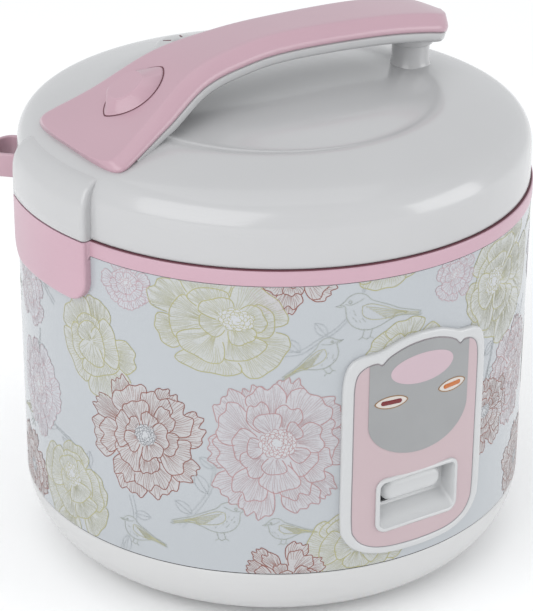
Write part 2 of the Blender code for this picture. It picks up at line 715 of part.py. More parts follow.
def make_heating_plate(aluminium):
    """Heating plate with the sensor's hole."""
    outline = [(PLATE_HOLE_RADIUS, PLATE_LOW), (PLATE_RADIUS, PLATE_LOW), (PLATE_RADIUS, PLATE_TOP - 0.004),
               (PLATE_RADIUS - 0.008, PLATE_TOP - 0.0008), (PLATE_HOLE_RADIUS + 0.008, PLATE_TOP),
               (PLATE_HOLE_RADIUS, PLATE_TOP - 0.001)]
    add_piece("heating_plate", turned(outline), aluminium)


def make_pot(coated):
    """Inner pot with its rolled-out flange."""
    inner = POT_RADIUS - POT_WALL
    low = POT_LOW + POT_CORNER
    outer_corner = arc((POT_RADIUS - POT_CORNER, low), POT_CORNER, -90, 0, 4)
    inner_corner = arc((POT_RADIUS - POT_CORNER, low), POT_CORNER - POT_WALL, 0, -90, 4)
    outline = [(0.0, POT_LOW), *outer_corner, (POT_RADIUS, POT_FLANGE_LOW),
               (POT_FLANGE_RADIUS, POT_FLANGE_LOW), (POT_FLANGE_RADIUS, POT_FLANGE_LOW + POT_WALL),
               (inner, POT_FLANGE_LOW + POT_WALL), *inner_corner, (0.0, POT_LOW + POT_WALL)]
    add_piece("inner_pot", turned(outline), coated)


def make_sensor(aluminium, steel, magnet):
    """The thermostat under the pot: a sprung cap, its cup, and the magnet that the lever lifts."""
    top = POT_LOW - GAP
    pivot = (0, 0, top)
    cap_low = top - SENSOR_CAP_HEIGHT
    cap = [(0.0, SENSOR_STEM_LOW), (SENSOR_STEM_RADIUS, SENSOR_STEM_LOW), (SENSOR_STEM_RADIUS, cap_low),
           (SENSOR_RADIUS, cap_low), (SENSOR_RADIUS, top - SENSOR_CAP_EDGE),
           (SENSOR_RADIUS - 3 * SENSOR_CAP_EDGE, top), (0.0, top)]
    add_piece("sensor_cap", turned(cap, ROUND_SEGMENTS), aluminium, pivot)
    cup_low = SENSOR_STEM_LOW - SENSOR_CUP_FLOOR
    hole = SENSOR_STEM_RADIUS + GAP
    outer = SENSOR_RADIUS + SENSOR_CUP_WALL
    cup = [(hole, cup_low), (outer, cup_low), (outer, PLATE_LOW - GAP), (SENSOR_RADIUS, PLATE_LOW - GAP),
           (SENSOR_RADIUS, SENSOR_STEM_LOW), (hole, SENSOR_STEM_LOW)]
    add_piece("sensor_cup", turned(cup, ROUND_SEGMENTS), steel)
    spring = coil(SPRING_RADIUS, SPRING_WIRE, SPRING_TURNS, SENSOR_STEM_LOW + GAP, cap_low - GAP)
    add_piece("sensor_spring", spring, steel)
    nub = LEVER_PIVOT.z - MAGNET_NUB_DROP
    disc = nub + MAGNET_NUB_HEIGHT
    pull = [(0.0, nub), (MAGNET_NUB_RADIUS, nub), (MAGNET_NUB_RADIUS, disc), (MAGNET_RADIUS, disc),
            (MAGNET_RADIUS, MAGNET_TOP), (0.0, MAGNET_TOP)]
    add_piece("magnet_cup", turned(pull, ROUND_SEGMENTS), magnet, (0, 0, MAGNET_TOP))


def make_lever(white, steel):
    """The cooking lever: a knob in the panel's window on a long arm that tilts under the sensor."""
    y0, z0 = LEVER_PIVOT.y, LEVER_PIVOT.z
    knob_z = (WINDOW_LOW + WINDOW_TOP) / 2 + KNOB_RAISE
    toe_low = z0 - LEVER_TOE_DROP
    toe_top = toe_low + LEVER_TOE_THICKNESS
    neck_low, neck_top = knob_z - NECK_HALF_HEIGHT, knob_z + NECK_HALF_HEIGHT
    arm = [(LEVER_TOE, toe_low), (LEVER_TOE, toe_top), (-0.014, toe_top), (y0 + LEVER_HUB, z0 + 0.0030),
           (y0 - LEVER_HUB, z0 + 0.0030), (LEVER_STEM_INNER, z0 + 0.0010), (LEVER_STEM_INNER, neck_low),
           (LEVER_STEM_INNER, neck_top), (LEVER_FRONT, neck_top), (LEVER_FRONT, neck_low),
           (LEVER_STEM_OUTER, neck_low), (LEVER_STEM_OUTER, z0 - 0.0020), (y0 - LEVER_HUB, z0 - 0.0030),
           (-0.016, toe_low)]
    shape = side_prism(arm, -LEVER_HALF_WIDTH, LEVER_HALF_WIDTH)
    lever = add_piece("cook_lever", shape, white, LEVER_PIVOT)
    left, right = KNOB_CENTRE_X - KNOB_HALF_WIDTH, KNOB_CENTRE_X + KNOB_HALF_WIDTH
    face = rounded_rectangle(left, right, knob_z - KNOB_HALF_HEIGHT, knob_z + KNOB_HALF_HEIGHT, KNOB_CORNER)
    knob = lofted([[(x * shrink + KNOB_CENTRE_X * (1 - shrink), y, knob_z + (z - knob_z) * shrink)
                    for x, z in face]
                   for y, shrink in KNOB_SECTIONS])
    join(lever, add_piece("lever_knob", knob, white))
    bore = rod(LEVER_BORE_RADIUS, 0.02, (1, 0, 0), LEVER_PIVOT)
    cut(lever, add_piece("lever_bore", bore, steel))
    add_piece("lever_pin", rod(LEVER_PIN_RADIUS, LEVER_PIN_LENGTH, (1, 0, 0), LEVER_PIVOT), steel)
    make_lever_bracket(steel)


def make_lever_bracket(steel):
    """Bent bracket that carries the lever's pin."""
    y0, z0 = LEVER_PIVOT.y, LEVER_PIVOT.z
    floor = BASE_FLOOR + GAP
    cheek = LEVER_HALF_WIDTH + BRACKET_PLAY
    outside = cheek + BRACKET_WALL
    top = z0 + BRACKET_TOP
    bracket = add_piece("lever_bracket", block((-outside, y0 - BRACKET_HALF_LENGTH, floor),
                                               (outside, y0 + BRACKET_HALF_LENGTH, top)), steel)
    past = BRACKET_HALF_LENGTH + REACH_THROUGH
    gap = block((-cheek, y0 - past, floor + BRACKET_WALL), (cheek, y0 + past, top + REACH_THROUGH))
    cut(bracket, add_piece("bracket_gap", gap, steel))
    bore = rod(LEVER_PIN_RADIUS + GAP, 0.03, (1, 0, 0), LEVER_PIVOT)
    cut(bracket, add_piece("bracket_bore", bore, steel))


def make_electrics(dark, white, copper, green):
    """Switch, fuse, terminals and the lamp board, in the base and behind the panel."""
    floor = BASE_FLOOR + GAP
    for name, corners, finish in (("micro_switch", SWITCH_BOX, dark), ("terminal_block", TERMINAL_BOX, white)):
        near, far, top = corners
        add_piece(name, block((*near, floor), (*far, top)), finish)
    fuse_z = PLATE_LOW - 2 * GAP - FUSE_RADIUS
    add_piece("thermal_fuse", rod(FUSE_RADIUS, FUSE_LENGTH, (1, 0, 0), (*FUSE_PLACE, fuse_z)), copper)
    board = block((-BOARD_HALF_WIDTH, BOARD_FACES[0], LAMP_HEIGHT - BOARD_BELOW_LAMPS),
                  (BOARD_HALF_WIDTH, BOARD_FACES[1], LAMP_HEIGHT + BOARD_ABOVE_LAMPS))
    add_piece("lamp_board", board, green)
    low, high = BULB_REACH
    for name, azimuth in LAMP_ANGLES.items():
        x = polar(low, azimuth).x
        body = rod(BULB_RADIUS, high - low, (0, 1, 0), (x, -(low + high) / 2, LAMP_HEIGHT))
        add_piece(f"{name}_bulb", body, white)


def make_inlet(dark, brass):
    """The socket that takes the detachable power cord, at the back of the body."""
    wide, tall = INLET_HALF
    front = PANEL_RADIUS
    outer_wide, outer_tall = wide + INLET_RIM, tall + INLET_RIM
    flange = block((-outer_wide, INLET_FLANGE_BACK, INLET_Z - outer_tall),
                   (outer_wide, front, INLET_Z + outer_tall))
    inlet = add_piece("power_inlet", flange, dark)
    join(inlet, add_piece("inlet_shell", block((-wide, INLET_BACK, INLET_Z - tall),
                                               (wide, INLET_SHELL_FRONT, INLET_Z + tall)), dark))
    cavity = block((-wide + INLET_WALL, INLET_BACK + INLET_WALL, INLET_Z - tall + INLET_WALL),
                   (wide - INLET_WALL, front + REACH_THROUGH, INLET_Z + tall - INLET_WALL))
    cut(inlet, add_piece("inlet_cavity", cavity, dark))
    for k, x in enumerate((-PIN_SPACING, 0.0, PIN_SPACING)):
        hole = rod(PIN_HOLE_RADIUS, 4 * INLET_WALL, (0, 1, 0), (x, INLET_BACK + INLET_WALL / 2, INLET_Z))
        cut(inlet, add_piece(f"inlet_pin_hole_{k + 1}", hole, dark))
        pin = rod(PIN_RADIUS, PIN_LENGTH, (0, 1, 0), (x, PIN_MIDDLE, INLET_Z))
        add_piece(f"inlet_pin_{k + 1}", pin, brass)


# Control panel


def panel_outline(inset=0.0):
    """Upright panel: round lower corners, two shoulders and an arch between two small notches."""
    half = arc_length(PANEL_HALF_ANGLE) - inset
    notch = arc_length(PANEL_NOTCH_ANGLE) - inset * 0.4
    low = PANEL_LOW + inset
    shoulder = PANEL_SHOULDER - inset
    corner = PANEL_CORNER - inset * 0.5
    lower = PANEL_NOTCH - inset
    rise = PANEL_ARCH - inset - lower
    right = [*arc((half - corner, low + corner), corner, -90, 0, 4),
             *arc((half - corner, shoulder - corner), corner, 0, 70, 3)]
    arch = [(notch * math.cos(math.pi * k / 10), lower + rise * math.sin(math.pi * k / 10) ** 0.8)
            for k in range(11)]
    left = [(-u, z) for u, z in right[::-1]]
    return [*right, *arch, *left]


def make_panel(white, pink, silver, red, orange):
    """Panel frame and face with the lever's window."""
    bezel = add_piece("panel_bezel", wrapped(panel_outline(), BODY_RADIUS + GAP, PANEL_RADIUS), white)
    pocket = wrapped(panel_outline(PANEL_RIM), FACE_FLOOR, PANEL_RADIUS + 0.002, slices=TOOL_SLICE)
    cut(bezel, add_piece("face_pocket", pocket, white))
    face = add_piece("panel_face", wrapped(panel_outline(PANEL_RIM + GAP), FACE_FLOOR + GAP, FACE_RADIUS), pink)
    opening = add_piece("recess_opening", end_prism(window_outline(WINDOW_WALL + GAP), -0.140, -0.125), pink)
    cut(bezel, opening)
    cut(face, opening)
    make_recess(white)
    make_badge(silver)
    for (name, azimuth), finish in zip(LAMP_ANGLES.items(), (red, orange)):
        make_lamp(name, azimuth, finish, (bezel, face, bpy.data.objects["panel_badge"]))


def window_outline(outward=0.0):
    """The lever's window with its round corners, made larger all round by outward."""
    half = WINDOW_HALF_WIDTH + outward
    return rounded_rectangle(-half, half, WINDOW_LOW - outward, WINDOW_TOP + outward,
                             WINDOW_CORNER - WINDOW_WALL + outward, 3)


def make_recess(white):
    """The white well behind the lever, with a slot in its back for the lever's arm."""
    block_in = end_prism(window_outline(WINDOW_WALL), -PANEL_RADIUS, -RECESS_BACK)
    recess = add_piece("lever_recess", block_in, white)
    room = end_prism(window_outline(), -PANEL_RADIUS - 0.001, -RECESS_BACK - WINDOW_WALL)
    cut(recess, add_piece("recess_room", room, white))
    front = turned([(0.0, 0.050), (RECESS_FRONT, 0.050), (RECESS_FRONT, 0.100), (0.0, 0.100)], 160)
    combine(recess, add_piece("recess_front", front, white), "INTERSECT")
    slot = block((-LEVER_HALF_WIDTH - 0.001, -0.1230, WINDOW_LOW + 0.0023),
                 (LEVER_HALF_WIDTH + 0.001, -0.1150, WINDOW_TOP - 0.0021))
    cut(recess, add_piece("lever_slot", slot, white))


def make_badge(silver):
    """Badge plate on the face, with its lamp openings."""
    half = arc_length(BADGE_HALF_ANGLE)
    arch = [(u, z) for u, z in panel_outline(PANEL_RIM + BADGE_MARGIN) if abs(u) < half and z > LAMP_HEIGHT]
    top = [(half, arch[0][1]), *arch, (-half, arch[-1][1])]
    bottom = arc((0.0, BADGE_SIDE_LOW), (half, BADGE_SIDE_LOW - BADGE_LOW), 180, 360, 12)
    add_piece("panel_badge", wrapped([*top, *bottom], FACE_RADIUS + 0.0001, BADGE_RADIUS), silver)


def make_lamp(name, azimuth, finish, covers):
    """A small oval lens through the panel, with a hole for it in each layer."""
    wide, tall = LAMP_HALF_SIZE
    lens = arc((0.0, LAMP_HEIGHT), (wide, tall), 0, 330, 11)
    add_piece(f"{name}_lens", wrapped(lens, LENS_BACK, PANEL_RADIUS - 0.0002, azimuth, LAMP_SLICE), finish)
    hole = arc((0.0, LAMP_HEIGHT), (wide + GAP, tall + GAP), 0, 330, 11)
    tool = add_piece(f"{name}_lens_hole", wrapped(hole, 0.128, 0.138, azimuth, LAMP_SLICE), finish)
    for cover in (*covers, bpy.data.objects["body_sleeve"]):
        cut(cover, tool)


# Lid


def make_lid(white, cream, aluminium, rubber, steel):
    """Lid shell with its boss and hinge knuckle."""
    outer = lid_curve()
    inner = [(r, z) for r, z in lid_curve(-LID_WALL) if z > LINER_LOW][::-1]
    outline = [*outer, (LID_RADIUS - 0.0002, LID_LOW), (LINER_RADIUS + 2 * GAP, LID_LOW), *inner]
    shell = add_piece("lid_shell", turned(outline), white, HINGE)
    boss_outline = [(LINER_RADIUS + 4 * GAP, LID_LOW), (TAB_RADIUS, LID_LOW), (TAB_RADIUS, BOSS_SHOULDER),
                    *arc(BOSS_ARC_CENTRE, BOSS_ARC_RADII, 0, 90, 4), BOSS_END]
    boss = turned(boss_outline, 8, LATCH_AZIMUTH - TAB_HALF_ANGLE, 2 * TAB_HALF_ANGLE)
    join(shell, add_piece("latch_boss", boss, white))
    knuckle = end_prism([(LINER_RADIUS + 0.0008, HINGE_Z - HINGE_KNUCKLE_RADIUS),
                         *arc((HINGE_X, HINGE_Z), HINGE_KNUCKLE_RADIUS, -90, 90, 8),
                         (LINER_RADIUS + 0.0008, HINGE_Z + HINGE_KNUCKLE_RADIUS + 0.002)],
                        -HINGE_KNUCKLE_HALF, HINGE_KNUCKLE_HALF)
    join(shell, add_piece("lid_knuckle", knuckle, white))
    cut(shell, add_piece("knuckle_bore", rod(HINGE_BORE_RADIUS, 0.05, (0, 1, 0), HINGE), steel))
    stem_hole = rod(BUTTON_STEM_RADIUS + 2 * GAP, 0.02, centre=(BUTTON_CENTRE_X, 0, 0.243))
    cut(shell, add_piece("stem_hole", stem_hole, steel))
    vent_hole = rod(VENT_TUBE_RADIUS + GAP, 0.04, centre=(*VENT_CENTRE, 0.235))
    vent_tool = add_piece("vent_hole", vent_hole, steel)
    cut(shell, vent_tool)
    hole = rod(SCREW_HOLE_RADIUS, 0.02, centre=(PILLAR_X, 0, 0.243))
    screw_tool = add_piece("pillar_screw_hole", hole, steel)
    cut(shell, screw_tool)
    add_piece("hinge_pin", rod(HINGE_PIN_RADIUS, 2 * (HINGE_KNUCKLE_HALF + HINGE_PLAY + HINGE_LUG_LENGTH),
                               (0, 1, 0), HINGE), steel)
    make_liner(cream, vent_tool)
    make_inner_lid(aluminium, rubber)
    make_vent(white)


def make_liner(cream, vent_tool):
    """Liner inside the lid, with the latch slot."""
    outline = [(INNER_LID_HOLE, LINER_TOP), (LINER_STEP_RADIUS, LINER_TOP), (LINER_STEP_RADIUS, LINER_LOW),
               (LINER_RADIUS, LINER_LOW), (LINER_RADIUS, LINER_LOW + LINER_WALL),
               (LINER_STEP_RADIUS + LINER_WALL, LINER_LOW + LINER_WALL),
               (LINER_STEP_RADIUS + LINER_WALL, LINER_TOP + LINER_WALL), (INNER_LID_HOLE, LINER_TOP + LINER_WALL)]
    liner = add_piece("lid_liner", turned(outline), cream, HINGE)
    cut(liner, vent_tool)
    slot = block((LATCH_SLOT_X[0] - REACH_THROUGH, -LATCH_SLOT_HALF_WIDTH, LINER_SLOT_HEIGHTS[0]),
                 (LATCH_SLOT_X[1] + REACH_THROUGH, LATCH_SLOT_HALF_WIDTH, LINER_SLOT_HEIGHTS[1]))
    cut(liner, add_piece("liner_latch_slot", slot, cream))


def make_inner_lid(aluminium, rubber):
    """The removable plate over the pot, its knob and the seal that presses on the pot's rim."""
    top = INNER_LID_LOW + INNER_LID_WALL
    plate = [(INNER_LID_HOLE, INNER_LID_LOW), (INNER_LID_STEP_RADIUS, INNER_LID_LOW),
             (INNER_LID_RADIUS, INNER_LID_LOW - INNER_LID_EDGE_DROP),
             (INNER_LID_RADIUS, top - INNER_LID_EDGE_DROP), (INNER_LID_STEP_RADIUS, top), (INNER_LID_HOLE, top)]
    inner_lid = add_piece("inner_lid", turned(plate), aluminium, HINGE)
    for k in range(4):
        x = VENT_CENTRE[0] + STEAM_HOLE_PITCH * (k - 1.5)
        tool = rod(STEAM_HOLE_RADIUS, 0.01, centre=(x, VENT_CENTRE[1], INNER_LID_LOW), segments=10)
        cut(inner_lid, add_piece(f"steam_hole_{k + 1}", tool, aluminium))
    rim = POT_FLANGE_LOW + POT_WALL + GAP
    seal = [(INNER_LID_RADIUS - 0.003, rim), (POT_FLANGE_RADIUS - 0.0005, rim),
            (POT_FLANGE_RADIUS - 0.0010, rim + 0.0020), (INNER_LID_RADIUS + 0.0030, rim + 0.0028),
            (INNER_LID_RADIUS + 0.0030, rim + 0.0070), (INNER_LID_RADIUS + GAP, rim + 0.0070),
            (INNER_LID_RADIUS + GAP, rim + 0.0024), (INNER_LID_RADIUS - 0.003, rim + 0.0012)]
    add_piece("lid_seal", turned(seal), rubber, HINGE)
    add_piece("inner_lid_knob", turned(LID_KNOB, ROUND_SEGMENTS), rubber, HINGE)


def make_vent(white):
    """Steam vent: a low cap on the lid with three slots, on a tube that ends over the inner lid."""
    x, y = VENT_CENTRE
    cap = [(0.0, VENT_LOW), (VENT_RADIUS, VENT_LOW), (VENT_RADIUS, VENT_TOP - 0.0018),
           (VENT_RADIUS - 0.003, VENT_TOP - 0.0004), (0.0, VENT_TOP)]
    vent = add_piece("steam_vent", turned(cap, ROUND_SEGMENTS, centre=(x, y, 0)), white, HINGE)
    cut(vent, add_piece("vent_seat", lid_space(GAP), white))
    tube = rod_between(VENT_TUBE_RADIUS, VENT_TUBE_LOW, VENT_TOP - 0.00085, VENT_CENTRE)
    join(vent, add_piece("vent_tube", tube, white))
    bore_radius = VENT_TUBE_RADIUS - VENT_TUBE_WALL
    bore = rod_between(bore_radius, VENT_TUBE_LOW - 0.00325, VENT_TOP - 0.0016, VENT_CENTRE)
    cut(vent, add_piece("vent_bore", bore, white))
    half_width, half_length = VENT_SLOT_HALF
    for k in range(3):
        middle = x + VENT_SLOT_PITCH * (k - 1)
        slot = block((middle - half_width, y - half_length, VENT_SLOT_LOW),
                     (middle + half_width, y + half_length, VENT_TOP + 3 * REACH_THROUGH))
        cut(vent, add_piece(f"vent_slot_{k + 1}", slot, white))


# Handle, release button and latch


def crest_at(x):
    """Height and slope angle of the handle's crest at x."""
    behind = max(x - SLOPE_STEP, HANDLE_CREST[0][0])
    ahead = min(x + SLOPE_STEP, HANDLE_CREST[-1][0])
    rise = interpolate(HANDLE_CREST, ahead) - interpolate(HANDLE_CREST, behind)
    return interpolate(HANDLE_CREST, x), math.atan2(rise, ahead - behind)


def half_width_at(x):
    """Half width of the handle at x, with its two ends rounded off."""
    wide = interpolate(HANDLE_HALF_WIDTHS, x)
    front, rear = HANDLE_CREST[0][0], HANDLE_CREST[-1][0]
    if x < HANDLE_FRONT_ROUND:
        t = (HANDLE_FRONT_ROUND - x) / (HANDLE_FRONT_ROUND - front)
        return wide * (1 - 0.97 * t ** 4) ** (1 / 3)
    if x > HANDLE_REAR_ROUND:
        t = (x - HANDLE_REAR_ROUND) / (rear - HANDLE_REAR_ROUND)
        return wide * (1 - 0.97 * t ** 2.2) ** (1 / 2.2)
    return wide


def handle_stations(start, end):
    """Places along the handle, closer together near its two ends."""
    middle, reach = (start + end) / 2, (end - start) / 2
    return [middle - reach * math.cos(math.pi * k / HANDLE_STATIONS) for k in range(HANDLE_STATIONS + 1)]


def handle_section(x, half_profile, narrow=0.0):
    """Ring of points round the handle at x, from (inset from its side, depth under its crest) corners."""
    z, slope = crest_at(x)
    wide = max(THINNEST_HALF, half_width_at(x) - narrow)
    half = []
    for inset, depth in half_profile:
        y = max(0.6 * THINNEST_HALF, wide - inset)
        half.append((x + depth * math.sin(slope), y, z - depth * math.cos(slope)))
    return half + [(px, -py, pz) for px, py, pz in half[::-1]]


def make_handle(pink, white, steel):
    """Hollow handle grip, its underside with the pillar, and their screw."""
    stations = handle_stations(HANDLE_CREST[0][0], HANDLE_CREST[-1][0])
    grip = add_piece("handle_grip", lofted([handle_section(x, GRIP_PROFILE) for x in stations]), pink, HINGE)
    inside = [handle_section(x, HOLLOW_PROFILE, GRIP_WALL) for x in handle_stations(*HOLLOW_ENDS)]
    cut(grip, add_piece("grip_hollow", lofted(inside), pink))
    lid_tool = add_piece("handle_seat", lid_space(GAP), white)
    cut(grip, lid_tool)
    opening = prism(button_outline(2 * GAP), *TOOL_HEIGHTS)
    cut(grip, add_piece("button_opening", opening, pink))
    sections = [handle_section(x, UNDERSIDE_PROFILE) for x in stations[2:]]
    underside = add_piece("handle_underside", lofted(sections), white, HINGE)
    pillar = turned(PILLAR_PROFILE, ROUND_SEGMENTS, centre=(PILLAR_X, 0, 0))
    join(underside, add_piece("rear_pillar", pillar, white))
    cut(underside, lid_tool)
    cut(underside, add_piece("pillar_bore", rod(SCREW_HOLE_RADIUS, 0.03, centre=(PILLAR_X, 0, 0.240)), steel))
    hole = prism(button_outline(UNDERSIDE_CLEARANCE), *TOOL_HEIGHTS)
    cut(underside, add_piece("underside_opening", hole, white))
    head_low, head_top, tip = HANDLE_SCREW_HEIGHTS
    screw = [(0.0, head_low), (SCREW_HEAD_RADIUS, head_low), (SCREW_HEAD_RADIUS, head_top),
             (SCREW_RADIUS, head_top), (SCREW_RADIUS, tip), (0.0, tip)]
    add_piece("handle_screw", turned(screw, SMALL_SEGMENTS, centre=(PILLAR_X, 0, 0)), steel, HINGE)


def button_outline(outward=0.0):
    """Pointed oval in plan, its long axis along the handle."""
    long, wide = BUTTON_HALF_LENGTH + outward, BUTTON_HALF_WIDTH + outward
    upper = [(BUTTON_CENTRE_X + long * math.cos(math.pi * k / 8), wide * math.sin(math.pi * k / 8) ** 1.35)
             for k in range(9)]
    return upper + [(x, -y) for x, y in upper[-2:0:-1]]


def make_button(pink):
    """The lid release: a faceted cap that stands a little proud of the handle, on a stem."""
    rows = []
    for share, rise in BUTTON_ROWS:
        row = []
        for x, y in button_outline():
            px = BUTTON_CENTRE_X + (x - BUTTON_CENTRE_X) * share
            row.append((px, y * share, crest_at(px)[0] + rise))
        rows.append(row)
    low = crest_at(BUTTON_CENTRE_X)[0] - BUTTON_SKIRT
    button = add_piece("release_button", lofted(rows), pink, (BUTTON_CENTRE_X, 0, low))
    stem = rod_between(BUTTON_STEM_RADIUS, BUTTON_STEM_LOW, low + BUTTON_SKIRT / 2, (BUTTON_CENTRE_X, 0))
    join(button, add_piece("button_stem", stem, pink))


def make_latch(white, steel):
    """The hook that holds the lid down: the button's stem tips it outwards off the catch."""
    x0, z0 = LATCH_PIVOT.x, LATCH_PIVOT.z
    tip = BUTTON_STEM_LOW - GAP
    t = LATCH_THICKNESS
    hook_x = LATCH_HOOK_X
    outline = [(BUTTON_CENTRE_X + 0.003, tip), (BUTTON_CENTRE_X + 0.003, tip - t), (x0 + 0.004, z0 - 0.0028),
               (x0 - 0.003, z0 - 0.0030), (hook_x + t, z0 - 0.0062), (hook_x + t, LATCH_HOOK_LOW + 0.0035),
               (hook_x + t + 0.0016, LATCH_HOOK_LOW + 0.0035), (hook_x + t + 0.0016, LATCH_HOOK_LOW + 0.0020),
               (hook_x + 0.001, LATCH_HOOK_LOW), (hook_x, LATCH_HOOK_LOW), (hook_x, z0 - 0.0040),
               (x0 - 0.003, z0 + 0.0028), (x0 + 0.003, z0 + 0.0030), (x0 + 0.008, tip)]
    latch = add_piece("latch_hook", end_prism(outline, -LATCH_HALF_WIDTH, LATCH_HALF_WIDTH), white, LATCH_PIVOT)
    cut(latch, add_piece("latch_bore", rod(LATCH_BORE_RADIUS, 0.03, (0, 1, 0), LATCH_PIVOT), steel))
    add_piece("latch_pin", rod(LATCH_PIN_RADIUS, LATCH_PIN_LENGTH, (0, 1, 0), LATCH_PIVOT), steel, HINGE)
    half_long, half_thick = LATCH_EAR_HALF
    for side in (-1, 1):
        y = side * (LATCH_HALF_WIDTH + LATCH_EAR_PLAY + half_thick)
        ear = block((x0 - half_long, y - half_thick, z0 - half_long),
                    (x0 + half_long, y + half_thick, LATCH_EAR_TOP))
        join(bpy.data.objects["lid_shell"], add_piece(f"latch_ear_{side + 2}", ear, white))
    ear_bore = rod(LATCH_PIN_RADIUS + GAP, 0.03, (0, 1, 0), LATCH_PIVOT)
    cut(bpy.data.objects["lid_shell"], add_piece("ear_bore", ear_bore, steel))


def main():
    """Build every part."""
    clear_scene()
    white = material("gloss_white", (0.80, 0.81, 0.82), 0.18)
    pink = material("gloss_pink", (0.68, 0.44, 0.52), 0.28)
    pale_pink = material("pale_pink", (0.74, 0.56, 0.60), 0.4)
    silver = material("silver_print", (0.52, 0.54, 0.56), 0.35)
    printed = material("printed_sheet", (0.70, 0.75, 0.80), 0.2)
    cream = material("liner_white", (0.78, 0.78, 0.76), 0.45)
    rubber = material("grey_rubber", (0.35, 0.36, 0.37), 0.7)
    steel = material("steel", (0.55, 0.56, 0.58), 0.3, 1.0)
    aluminium = material("aluminium", (0.72, 0.73, 0.74), 0.35, 1.0)
    coated = material("non_stick", (0.06, 0.06, 0.065), 0.45)
    dark = material("black_plastic", (0.03, 0.03, 0.03), 0.5)
    brass = material("brass", (0.70, 0.55, 0.25), 0.3, 1.0)
    green = material("board_green", (0.04, 0.22, 0.10), 0.5)
    red = material("red_lens", (0.45, 0.02, 0.03), 0.15)
    orange = material("orange_lens", (0.62, 0.22, 0.04), 0.15)

    make_base(white, rubber, steel)
    make_sleeve(printed, pink, steel)
    make_ring(pink, steel)
    make_well(steel, aluminium)
    make_heating_plate(aluminium)
    make_pot(coated)
    make_sensor(aluminium, steel, dark)
    make_lever(white, steel)
    make_electrics(dark, cream, brass, green)
    make_inlet(dark, brass)
    make_panel(white, pale_pink, silver, red, orange)
    make_lid(white, cream, aluminium, rubber, steel)
    make_handle(pink, white, steel)
    make_button(pink)
    make_latch(cream, steel)


main()
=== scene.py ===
"""Looks of a jar rice cooker: smooth shells, a printed sleeve, the panel, the handle and soft light.

Everything is in metres in the CAD frame, +Z up. Azimuths are in degrees, 0 at -Y and 90 at +X, so
they grow to the right for someone who looks at the body from outside. The print is laid out on the
sleeve as (u, z): u is the arc length round the body from azimuth 0, z the height.
"""

import math
import random

import bmesh
import bpy
from mathutils import Matrix, Vector


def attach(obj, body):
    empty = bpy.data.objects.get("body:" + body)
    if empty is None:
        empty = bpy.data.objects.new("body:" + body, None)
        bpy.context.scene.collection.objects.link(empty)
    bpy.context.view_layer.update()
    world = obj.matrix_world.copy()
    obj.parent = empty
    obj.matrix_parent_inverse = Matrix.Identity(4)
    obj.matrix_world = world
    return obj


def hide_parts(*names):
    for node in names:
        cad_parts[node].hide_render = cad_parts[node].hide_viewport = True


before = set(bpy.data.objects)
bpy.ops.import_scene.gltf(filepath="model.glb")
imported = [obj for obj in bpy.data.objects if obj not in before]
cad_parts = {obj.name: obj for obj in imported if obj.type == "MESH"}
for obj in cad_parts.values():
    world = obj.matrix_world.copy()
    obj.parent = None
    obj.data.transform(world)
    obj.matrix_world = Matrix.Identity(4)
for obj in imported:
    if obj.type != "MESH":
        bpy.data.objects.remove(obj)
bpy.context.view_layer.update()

# Sizes that the CAD model gives
BODY_RADIUS = 0.132
FOOT_HEIGHT = 0.004
BASE_FLAT_RADIUS = 0.100
BASE_TOP = 0.0395
SLEEVE_LOW = 0.0398
SLEEVE_TOP = 0.1957
RING_LOW = 0.1960
RING_TOP = 0.2037
RING_RADIUS = 0.1325
TAB_RADIUS = 0.1365
TAB_HALF_ANGLE = 15.5
HINGE_TAB_HALF_ANGLE = 12.0
TAB_LOW = 0.171
TAB_INNER_RADIUS = 0.1318
LATCH_AZIMUTH = -90.0
LATCH_SLOT_LOW = (-0.1302, -0.0090, 0.1880)
LATCH_SLOT_HIGH = (-0.1222, 0.0090, 0.2100)
HINGE_AZIMUTH = 90.0
HINGE_X = 0.1338
HINGE_Z = 0.2080
KNUCKLE_RADIUS = 0.0026
LID_LOW = 0.2042
PANEL_RADIUS = 0.1345
FACE_RADIUS = 0.1340
WINDOW_HALF_WIDTH = 0.0228
WINDOW_LOW, WINDOW_TOP = 0.0600, 0.0871
WINDOW_CORNER = 0.0042
VENT_CENTRE = (-0.004, 0.082)
PILLAR_X = 0.0843
BUTTON_CENTRE_X = -0.0808
INLET_Z = 0.064
INLET_FACE_Y = 0.1345

# Sizes that only the looks use
SEGMENTS = 160
INK_OFFSET = 0.00014
FILL_OFFSET = 0.00006
BUTTON_OVAL_X = BUTTON_CENTRE_X - 0.0012
BUTTON_POINTS = 64
LAMP_Z = 0.1303
TAB_CORNER = 0.012
TAB_EDGE = 0.0016
CAD_EDGE_ROUNDING = 0.0002


# ---------------------------------------------------------------- materials


def paint(red, green, blue):
    """Linear colour from the usual 0 to 255 values."""
    return tuple(((c / 255 + 0.055) / 1.055) ** 2.4 for c in (red, green, blue))


def node_of(tree, kind, **values):
    """A new shader node with the given values on its inputs."""
    made = tree.nodes.new(kind)
    for name, value in values.items():
        made.inputs[name.replace("_", " ")].default_value = value
    return made


def noise_on(tree, scale, detail=2.0):
    """Noise in object coordinates, so that it turns with its body."""
    place = tree.nodes.new("ShaderNodeTexCoord")
    texture = node_of(tree, "ShaderNodeTexNoise", Scale=scale, Detail=detail)
    tree.links.new(place.outputs["Object"], texture.inputs["Vector"])
    return texture


def spread(tree, source, low, high):
    """The source, which runs from 0 to 1, brought to a range."""
    made = node_of(tree, "ShaderNodeMapRange", To_Min=low, To_Max=high)
    tree.links.new(source, made.inputs["Value"])
    return made.outputs["Result"]


